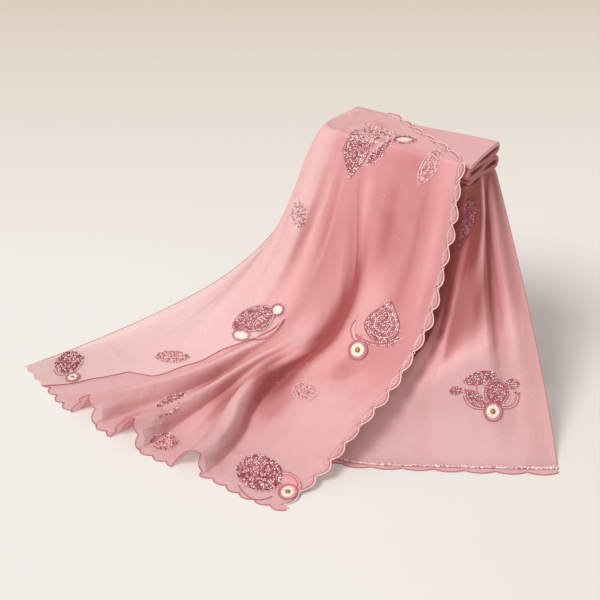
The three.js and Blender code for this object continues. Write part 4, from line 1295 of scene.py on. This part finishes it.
# %% Where the motifs sit
CLOTHS = {"front": front, "right": right}
UNIT = 1.83 * MM
UP_SEEN = np.array([0, math.sin(tilt), math.cos(tilt)])      # up, as the camera sees it
PLACE = {  # (u, v) of the middle of each piece
    "paisley_1": (0.290, 0.029), "paisley_2": (0.470, 0.457), "paisley_3": (0.946, 0.916),
    "paisley_4": (0.139, 0.310), "paisley_5": (0.136, 0.893), "paisley_6": (0.717, 0.637),
    "paisley_7": (0.244, 0.066), "leaf_1": (0.112, 0.031), "leaf_2": (0.166, -0.077),
    "leaf_3": (0.575, 0.180), "leaf_4": (0.686, 0.682), "leaf_5": (0.209, 0.597),
    "leaf_6": (0.426, 0.922), "extra_leaf": (0.522, 0.806), "disc_1": (0.041, 0.919),
    "disc_2": (0.154, 0.410), "disc_3": (0.874, 0.930), "disc_4": (0.710, 0.699)}
print(len(PLACE), "places")

# %% Laying a drawing on the cloth
NEAR, FINE = 0.006, 0.003            # steps in (u, v) that the slope of the cloth is read with
LEAST_SLOPE = 0.04                   # keeps a step finite where the cloth is seen edge-on


class Drawing:
    """A flat drawing laid on a cloth, with its middle at its place in the table."""

    def __init__(self, name, panel, layer=0):
        self.name, self.cloth, self.middle = name, CLOTHS[panel], np.array(PLACE[name])
        self.base_out = layer * LAYER_STEP + WALL / 2
        here = self.seen(self.middle[None])[0]
        slopes = np.array([self.seen(self.middle[None] + step)[0] - here
                           for step in ((NEAR, 0), (0, NEAR))]) / NEAR
        self.step = np.linalg.inv(slopes) * UNIT
        ends = self.lay([(0, 0), (1, 0), (0, 1)])
        self.scale = np.linalg.norm(ends[1:] - ends[0], axis=1) / MM     # mm of cloth a unit
        self.cords = {"rose": [], "silver": []}
        self.dots, self.sizes, self.tones = [], [], []

    def on_cloth(self, uv, out=0.0):
        """Points of the cloth, none of them beyond its edges."""
        u, v = np.clip(uv[:, 0], 0.002, 0.998), np.clip(uv[:, 1], -0.29, 0.999)
        return self.cloth.at(u, v, out)

    def seen(self, uv):
        """Where places on the cloth are seen, to the right and up, in metres."""
        p = self.on_cloth(uv)
        return np.stack([p[:, 0], p @ UP_SEEN], -1)

    def lay(self, xy, out=0.0):
        """Places on the cloth of drawn points, out in mm above its face. A few Newton steps
        find the place on the curved cloth that is seen where the point is drawn."""
        xy = np.atleast_2d(np.asarray(xy, float))
        goal = self.seen(self.middle[None]) + xy * UNIT
        uv = xy @ self.step + self.middle
        for _ in range(4):
            now = self.seen(uv)
            (a, b), (c, d) = ((self.seen(uv + step) - now).T / FINE
                              for step in ((FINE, 0), (0, FINE)))
            slope = a * d - b * c
            slope = (np.maximum(slope, LEAST_SLOPE) if slope.mean() > 0
                     else np.minimum(slope, -LEAST_SLOPE))
            miss_x, miss_y = (goal - now).T
            move = np.stack([miss_x * d - miss_y * c, miss_y * a - miss_x * b], -1)
            uv = uv + np.clip(move / slope[:, None], -0.03, 0.03)
        return self.on_cloth(uv, self.base_out + np.asarray(out) * MM)


print("drawings ready")

# %% Cords and beads of a motif
class Stitching(Drawing):
    """The cords and beads that are sewn along the drawn lines."""

    def cord(self, xy, kind="rose", out=0.5):
        """A cord along a drawn line."""
        self.cords[kind].append(self.lay(xy, out))

    def put(self, points, size, tones):
        """Beads at those points, each of a slightly different size and a tone drawn at random."""
        self.dots.append(points)
        self.sizes.append(size * rng.uniform(0.8, 1.15, len(points)))
        self.tones.append(np.array(tones)[rng.integers(0, len(tones), len(points))])

    def row(self, xy, size, tones, out=0.9, gap=2.6):
        """Beads along a line. Their size is a radius in mm, and they lie gap radii apart."""
        line = self.lay(xy, out)
        steps = np.concatenate([[0], np.cumsum(np.linalg.norm(np.diff(line, axis=0), axis=1))])
        at = np.linspace(0, steps[-1], max(2, int(steps[-1] / (gap * size * MM)) + 1))
        points = np.stack([np.interp(at, steps, line[:, i]) for i in range(3)], -1)
        self.put(points, size, tones)

    def dot(self, xy, size, out=0.8):
        """Single pearls."""
        self.put(self.lay(xy, out), size, (PEARL,))

    def fill(self, outline, size, tones=MIXED, out=1.1, gap=2.7):
        """Beads close together all over the inside of an outline."""
        outline = np.asarray(outline)
        low, high = outline.min(0), outline.max(0)
        sx, sy = gap * size / self.scale
        X, Y = np.meshgrid(np.arange(low[0], high[0], sx), np.arange(low[1], high[1], sy * 0.87))
        X[1::2] += sx / 2
        xy = np.stack([X.ravel(), Y.ravel()], -1) + rng.normal(0, 0.16, (X.size, 2)) * (sx, sy)
        # A point is inside if a line from it crosses the outline an odd number of times.
        inside = np.zeros(len(xy), bool)
        for (xa, ya), (xb, yb) in zip(outline, np.roll(outline, -1, axis=0)):
            crosses = (ya > xy[:, 1]) != (yb > xy[:, 1])
            at = xa + (xy[:, 1] - ya) / np.where(yb == ya, 1e-9, yb - ya) * (xb - xa)
            inside ^= crosses & (xy[:, 0] < at)
        if inside.any():
            heights = out + rng.uniform(-0.2, 0.3, inside.sum())
            self.put(self.lay(xy[inside], heights), size, tones)


print("stitching ready")

# %% Pads, and the finished motif
class Motif(Stitching):
    """A whole motif: pads under it, rows round it, and its meshes."""

    def ground(self, outline, rise=0.7, mat=EMBROIDERY, name="ground", slot="thread"):
        """A low pad with that outline."""
        outline = np.asarray(outline, float)[:-1]
        middle, n = outline.mean(0), len(outline)
        rings = [(1.0, 0.05), (1.0, rise * 0.45), (0.85, rise * 0.8), (0.5, rise)]
        points = np.concatenate([self.lay(middle + (outline - middle) * s, h) for s, h in rings]
                                + [self.lay(middle, rise), self.lay(middle, 0.05)]) - CENTRE
        faces = []
        for k in range(n):
            m = (k + 1) % n
            for j in range(3):
                faces.append([j * n + k, j * n + m, (j + 1) * n + m, (j + 1) * n + k])
            faces.append([3 * n + k, 3 * n + m, 4 * n])
            faces.append([m, k, 4 * n + 1])
        mesh = bpy.data.meshes.new(f"{self.name}_{name}")
        mesh.from_pydata(points.tolist(), [], faces)
        obj = bpy.data.objects.new(f"{self.name}_{name}", mesh)
        bpy.context.scene.collection.objects.link(obj)
        deselect()
        obj.select_set(True)
        bpy.context.view_layer.objects.active = obj
        bpy.ops.object.mode_set(mode="EDIT")
        bpy.ops.mesh.select_all(action="SELECT")
        bpy.ops.mesh.normals_make_consistent(inside=False)
        bpy.ops.object.mode_set(mode="OBJECT")
        bpy.ops.object.shade_smooth()
        finish_piece(obj, mat, slot, *([self.name] if name == "ground" else []))

    def rings(self, outline, levels, out=0.8):
        """Rows that follow an outline inwards: (share of its size, cord kind or bead tones)."""
        outline = np.asarray(outline, float)
        middle = outline.mean(0)
        for share, what in levels:
            line = middle + (outline - middle) * share
            if isinstance(what, str):
                self.cord(line, what, out - 0.3)
            else:
                self.row(line, 1.3, what, out)

    def oval(self, x, y, half_long, half_wide, turn=0.0, name="oval"):
        """A white padded oval inside a ring of rose cord and beads."""
        shape = blob((x, y), half_long, half_wide, turn)
        self.ground(shape, 1.8, WHITE_PAD, name, "padding")
        self.cord(blob((x, y), half_long * 1.25, half_wide * 1.35, turn), "rose", 0.7)
        self.row(blob((x, y), half_long * 1.45, half_wide * 1.6, turn), 0.9, (SILVER, PINK))

    def make(self, cord_size=0.75):
        """The cords of each kind as one mesh, and all the beads as another."""
        for kind, mat in (("rose", ROSE_CORD), ("silver", SILVER_CORD)):
            if self.cords[kind]:
                tubes(f"{self.name}_{kind}_cords", self.cords[kind], cord_size * MM, mat, "thread")
        if self.dots:
            beads(f"{self.name}_beads", np.concatenate(self.dots), np.concatenate(self.sizes) * MM,
                  np.concatenate(self.tones))
        print(self.name, sum(map(len, self.dots)), "beads")


print("motif class ready")

# %% Shapes to draw with
TURN_ROUND = np.linspace(0, 2 * np.pi, 49)


def framed(base, tip, x, y):
    """Points with x from 0 at the base to 1 at the tip, and y across in units."""
    base = np.array(base, float)
    axis = np.array(tip, float) - base
    length = np.hypot(*axis)
    side = np.array([-axis[1], axis[0]]) / length
    return base + axis * x[:, None] + side * y[:, None]


def pear(base, tip, width, curl=0.0):
    """A paisley: full at its base, with a tip that curls to one side."""
    x = 0.5 - 0.5 * np.cos(TURN_ROUND)
    y = 0.5 * width * np.sin(TURN_ROUND) * (1.15 - 0.85 * x * x) + curl * x ** 3
    return framed(base, tip, x, y)


def leaf(base, tip, width):
    """A slim leaf, pointed at both ends."""
    x = 0.5 - 0.5 * np.cos(TURN_ROUND)
    y = 0.5 * width * np.sin(TURN_ROUND) * np.abs(np.sin(TURN_ROUND)) ** 0.5
    return framed(base, tip, x, y)


def blob(middle, rx, ry, turn=0.0):
    """An oval round its middle, turned by an angle."""
    c, s = math.cos(turn), math.sin(turn)
    a, b = rx * np.cos(TURN_ROUND), ry * np.sin(TURN_ROUND)
    return np.stack([middle[0] + a * c - b * s, middle[1] + a * s + b * c], -1)


def bow(a, b, rise, n=24):
    """An arc from a to b that stands off the straight line by rise."""
    t = np.linspace(0, 1, n)
    return framed(a, b, t, 4 * rise * t * (1 - t))


print("shapes ready")

# %% [markdown]
# ## Paisleys and leaves
# All of them are ordinary paisley and leaf shapes. Nearly each one gets a low pad, rows of cord
# and beads that follow its outline, a field of beads and perhaps a few curls, and they differ in
# proportion and in how they curl, as hand work does.

# %% A paisley with a pearl arc
m = Motif("paisley_4", "front")
shape = pear((-2, -20), (8, 21), 35, -3)
m.ground(shape)
m.rings(shape, ((1.0, "rose"), (0.93, BRIGHT), (0.80, "silver"), (0.5, "silver")))
m.fill(shape * 0.96, 1.5, MIXED, gap=2.8)
for shift, kind in ((0, BRIGHT), (-1.7, "rose"), (-3.2, BRIGHT)):
    line = bow((-24 + shift / 2, -11 + shift), (19, -15 + shift), -8)
    if kind == "rose":
        m.cord(line)
    else:
        m.row(line, 1.6, kind, 1.1)
m.cord(bow((-22, 3), (-27, -19), -5))
m.cord(bow((-20, 4), (-24, -19), -5), "silver")
m.dot([(13, 8), (16, 2), (18, -3), (20, -9), (21, -17), (15, -20)], 2.0, 1.2)
for x, y in ((-30, -1), (-24, 4)):
    m.row(blob((x, y), 2.6, 2.2), 0.9, BRIGHT)
m.row(bow((3, 22), (-16, 3), 4), 1.0, BRIGHT, gap=5)
m.fill(blob((7, 20), 3.4, 3.6), 1.1, BRIGHT)
m.row(bow((19, -16), (4, -25), 3), 1.1, (PINK, SILVER, ROSE), gap=2.6)
m.make()

# %% A paisley with a wing and a curl
m = Motif("paisley_1", "front")
shape = pear((-9, 18), (-22, -27), 25, 2)
m.ground(shape)
m.rings(shape, ((1.0, "rose"), (0.93, BRIGHT), (0.84, "rose"), (0.74, BRIGHT)))
m.fill(shape * 0.97, 1.5, MIXED, gap=2.7)
wing = pear((-14, 13), (28, 15), 19, -2)
m.fill(wing, 1.5, MIXED, gap=2.7)
m.rings(wing, ((1.0, "silver"), (0.7, "silver"), (0.86, BRIGHT)))
curl = pear((-4, -17), (25, 9), 10, 2)
m.ground(curl)
m.fill(curl, 1.4, MIXED, gap=2.8)
m.rings(curl, ((1.0, "silver"), (0.88, BRIGHT), (0.6, "rose")))
m.rings(pear((-8, -12), (18, 8), 6, 2) + (-4, 5), ((1.0, "silver"), (0.6, DARK)))
m.fill(blob((-3, 25), 4, 3), 1.1, BRIGHT)
m.fill(blob((-21, -26), 2.5, 3.4), 1.1, BRIGHT)
m.row(bow((-30, -6), (-14, 20), 3), 1.0, BRIGHT, gap=4)
m.make()

# %% A paisley between two padded ovals
m = Motif("paisley_2", "front", 1)
shape = leaf((-27, -6), (21, 13), 25)
m.ground(shape)
m.fill(leaf((-25, -4), (14, 12), 20), 1.55, MIXED)
m.rings(shape, ((1.0, "rose"), (0.94, BRIGHT)))
m.rings(pear((-2, -8), (18, 7), 12, 1),
        ((1.1, "silver"), (0.98, "rose"), (0.8, BRIGHT), (0.55, "rose"), (0.35, BRIGHT)), 1.4)
m.cord(bow((-12, -18), (29, 4), -9))
m.cord(bow((-11, -16), (27, 4), -8), "silver")
m.row(bow((-27, -4), (15, 17), 5), 1.0, BRIGHT, gap=4.5)
m.oval(-17, -14, 7.2, 4.2, -0.05, "oval_low")
m.oval(22, 13, 5.2, 4.2, 0.6, "oval_high")
m.make()

# %% Two round paisleys by the front hem
m = Motif("paisley_3", "front", 1)
shape = blob((0, 0), 16, 11.5, 0.1)
m.ground(shape)
m.fill(shape, 1.7, DARK + (SILVER, PEARL))
m.row(shape, 1.1, BRIGHT)
for k in (0, 2.2):
    m.cord(bow((15 + k, 6), (10 + k, -13), -8))
m.cord(bow((-15, -8), (0, -13), -3))
m.make()

m = Motif("paisley_5", "front")
shape = blob((-3, 1), 23, 15, -0.12)
m.ground(shape)
m.fill(shape, 1.85, DARK + (SILVER, PEARL, PINK, SILVER), gap=2.6)
m.row(shape, 1.2, DARK)
m.row(blob((-3, 1), 24.2, 16.2, -0.12)[24:], 1.2, BRIGHT)
petal = blob((26, -7), 13, 8.5, -0.45)
m.ground(petal, 0.35, LEAF_GROUND, "petal")
m.rings(petal, ((1.0, "rose"), (0.7, "rose")))
m.row(petal, 0.9, BRIGHT, gap=4)
m.cord(bow((-24, -10), (10, -19), -7))
m.make()

# %% Paisleys on the right fall
m = Motif("paisley_6", "right")
shape = blob((3, 0), 12, 12.5)
m.ground(shape)
m.rings(shape, ((1.06, "rose"), (0.97, BRIGHT), (0.86, "rose"), (1.2, BRIGHT)))
m.fill(blob((3, 0), 9.5, 10), 1.5, MIXED)
for k, kind in ((0, "rose"), (1.8, "silver"), (3.6, "rose")):
    m.cord(bow((-33 + k, 3 + k / 2), (-6, -16 + k / 2), -9), kind)
    m.cord(bow((7, -16 + k / 2), (27 - k, k / 2), -8), kind)
m.row(bow((-28, 5), (-6, -13), -8), 1.0, BRIGHT)
m.row(bow((8, -12), (22, 2), -6), 1.0, BRIGHT)
m.cord(bow((-14, 16), (-14, -4), -4))
PETALS = (leaf((-31, 11), (2, 19), 13), leaf((-45, 0), (-33, 4), 8), leaf((13, 9), (27, 8), 10),
          leaf((-33, 2), (-8, -13), 13))
for k, petal in enumerate(PETALS, 1):
    m.ground(petal, 0.4, name=f"petal_{k}")
    m.fill(petal, 1.4, MIXED, gap=2.7)
    m.rings(petal, ((1.0, "rose"),))
m.fill(blob((24, -1), 4, 3), 1.2, (SILVER, WINE))
m.dot([(-2, 21)], 2.2)
m.make()

# Only dark and rose beads: painted shade, as it lies in the shade of the front fall.
m = Motif("paisley_7", "right")
shape = pear((2, 22), (-6, -27), 17, -2)
m.ground(shape)
m.fill(shape, 1.4, (WINE, ROSE, WINE, PINK))
m.row(shape, 1.1, (ROSE, WINE))
m.make()

# %% Beaded leaves
LEAVES = {  # the layer it lies on, and its outline
    "leaf_1": (0, leaf((-10, -17), (9, 17), 15)), "leaf_3": (0, leaf((-1, -17), (-1, 17), 17)),
    "leaf_4": (1, leaf((-21, 0), (20, 0), 13)), "leaf_5": (0, blob((0, 0), 12.5, 9)),
    "leaf_6": (0, leaf((-16, 1), (16, -1), 16)),
    "extra_leaf": (0, leaf((-17, -9), (17, 12), 17))}
for name, (layer, shape) in LEAVES.items():
    m = Motif(name, "front", layer)
    if name != "extra_leaf":
        m.ground(shape * 0.9, 0.35, LEAF_GROUND)
    if name in ("leaf_1", "leaf_5"):
        m.rings(shape, ((1.05, "silver"), (0.95, BRIGHT), (0.7, BRIGHT)))
        m.fill(shape * 0.72, 1.4, (PINK, SILVER, ROSE, SILVER), gap=2.7)
    else:
        m.fill(shape, 1.5, BRIGHT + (ROSE, PINK, WINE), gap=2.7)
        m.row(shape, 0.9, BRIGHT, gap=4.5)
    m.make(0.6)

# %% A leaf with a padded oval
m = Motif("leaf_2", "front")
m.ground(leaf((-8, 0), (8, -0.5), 5.5), 1.8, WHITE_PAD)
m.rings(leaf((-11, 0), (12, -0.5), 9),
        ((0.96, "rose"), (1.05, (ROSE, PINK, SILVER)), (0.85, (ROSE, PINK))))
m.make(0.8)

# %% [markdown]
# ## Padded discs
# Each disc is a white padded ring round a gold-brown bead, with a stitched rose ring about it.
# The rings are torus primitives and the centre is a sphere, all a little flattened. The outer
# ring's width steps in and out as it goes round, which looks like stitches side by side.

# %% Laying a primitive on the cloth
STITCHES = 18                        # raised stitches round a disc
DISC_LIFT = 0.8 * MM


def lay_down(name, mat, slot, place, squash, stitched=0.0, nodes=()):
    """Flatten the primitive just added, ruffle it into stitches and lay it on the cloth."""
    obj = bpy.context.object
    obj.name = obj.data.name = name
    co = np.empty(len(obj.data.vertices) * 3)
    obj.data.vertices.foreach_get("co", co)
    co = co.reshape(-1, 3)
    co[:, 2] *= squash
    angle = np.arctan2(co[:, 1], co[:, 0])
    co[:, :2] *= 1 + stitched * np.sign(np.sin(STITCHES * angle))[:, None]
    obj.data.vertices.foreach_set("co", co.ravel())
    obj.data.transform(place)
    bpy.ops.object.shade_smooth()
    finish_piece(obj, mat, slot, *nodes)


print("stitches:", STITCHES)

# %% Discs
def disc(name, panel, layer, radius):
    """A padded ring, its centre, a stitched ring and a circle of beads."""
    cloth, (u, v) = CLOTHS[panel], PLACE[name]
    where = cloth.at(u, v, layer * LAYER_STEP + WALL / 2 + DISC_LIFT)[0] - CENTRE
    outwards = cloth.at(u, v, 1.0)[0] - cloth.at(u, v)[0]
    place = Vector(outwards.tolist()).to_track_quat("Z", "Y").to_matrix().to_4x4()
    place.translation = where.tolist()
    deselect()
    bpy.ops.mesh.primitive_torus_add(major_segments=40, minor_segments=14,
                                     major_radius=radius * 0.68 * MM,
                                     minor_radius=radius * 0.34 * MM)
    lay_down(f"{name}_ring", WHITE_PAD, "padding", place, 0.7, nodes=(name,))
    deselect()
    bpy.ops.mesh.primitive_uv_sphere_add(segments=20, ring_count=12, radius=radius * 0.36 * MM)
    lay_down(f"{name}_centre", GOLD, "beads", place, 0.8)
    deselect()
    bpy.ops.mesh.primitive_torus_add(major_segments=72, minor_segments=10,
                                     major_radius=radius * 1.36 * MM, minor_radius=1.5 * MM)
    lay_down(f"{name}_stitches", ROSE_CORD, "thread", place, 0.9, stitched=0.035)
    q = np.linspace(0, 2 * np.pi, 30)[:-1]
    circle = np.stack([1.2 * radius * MM * np.cos(q), 1.2 * radius * MM * np.sin(q), 0 * q], -1)
    circle = np.array([place @ Vector(p) for p in circle.tolist()]) + CENTRE
    beads(f"{name}_beads", circle, np.full(len(circle), 0.9 * MM),
          np.tile(SILVER, (len(circle), 1)))
    print(f"{name}: stitched ring {2 * 1.36 * radius:.0f} mm across")


disc("disc_1", "front", 0, 12.5)
disc("disc_2", "front", 0, 13.5)
disc("disc_3", "front", 1, 10)
disc("disc_4", "right", 0, 13)

# %% [markdown]
# ## Bead band and sequins
# A band of small beads runs along the right hem, in four rows that draw together and part again,
# with a cord below them. Single sequins are scattered on the cloth by a seeded random
# generator, so they lie in the same places each time.

# %% Bead band on the right hem
BAND = 300                           # beads in each row
BAND_TONES = np.array((PEARL, SILVER, SILVER, PINK, ROSE))
columns = even(right.P[-1], BAND)
lowest = float(right.row(RIGHT_HEM_V)) - 0.5
clump = 0.45 + 0.55 * np.sin(np.arange(BAND) * 0.11) ** 2
places, tones, sizes = [], [], []
for rise, size in ((0.0, 1.7), (0.4, 1.7), (0.8, 1.6), (1.2, 1.4)):
    stray = rng.uniform(-0.2, 0.2, BAND)
    places.append(right.at_cell(lowest - rise * clump + stray, columns, WALL / 2 + 0.0006))
    sizes.append(np.full(BAND, size * MM))
    tones.append(BAND_TONES[rng.integers(0, 5, BAND)])
line = right.at_cell(np.full(BAND, lowest + 0.2), columns, WALL / 2 + 0.0004)
tubes("right_hem_line", [line], 0.0008, ROSE_CORD, "border", ("right_hem_border",))
beads("right_hem_beads", np.concatenate(places), np.concatenate(sizes), np.concatenate(tones))
print(len(places) * BAND, "beads in the band")

# %% Sequins
ON_FRONT, ON_RIGHT = 190, 24
U, V = rng.uniform(0.05, 0.95, ON_FRONT), rng.uniform(0.05, 0.93, ON_FRONT)
on_front = front.at(U, V, WALL / 2 + LAYER_STEP * (U > 0.5))
U, V = rng.uniform(0.1, 0.95, ON_RIGHT), rng.uniform(0.45, 0.9, ON_RIGHT)
spots = np.concatenate([on_front, right.at(U, V, WALL / 2)])
beads("sequins", spots, np.full(len(spots), 0.8 * MM), np.tile(PEARL, (len(spots), 1)))
print(len(spots), "sequins")

# %% Finish
size = {"before": [list(v) for v in cad_box], "after": [list(v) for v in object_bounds()]}
print(size)
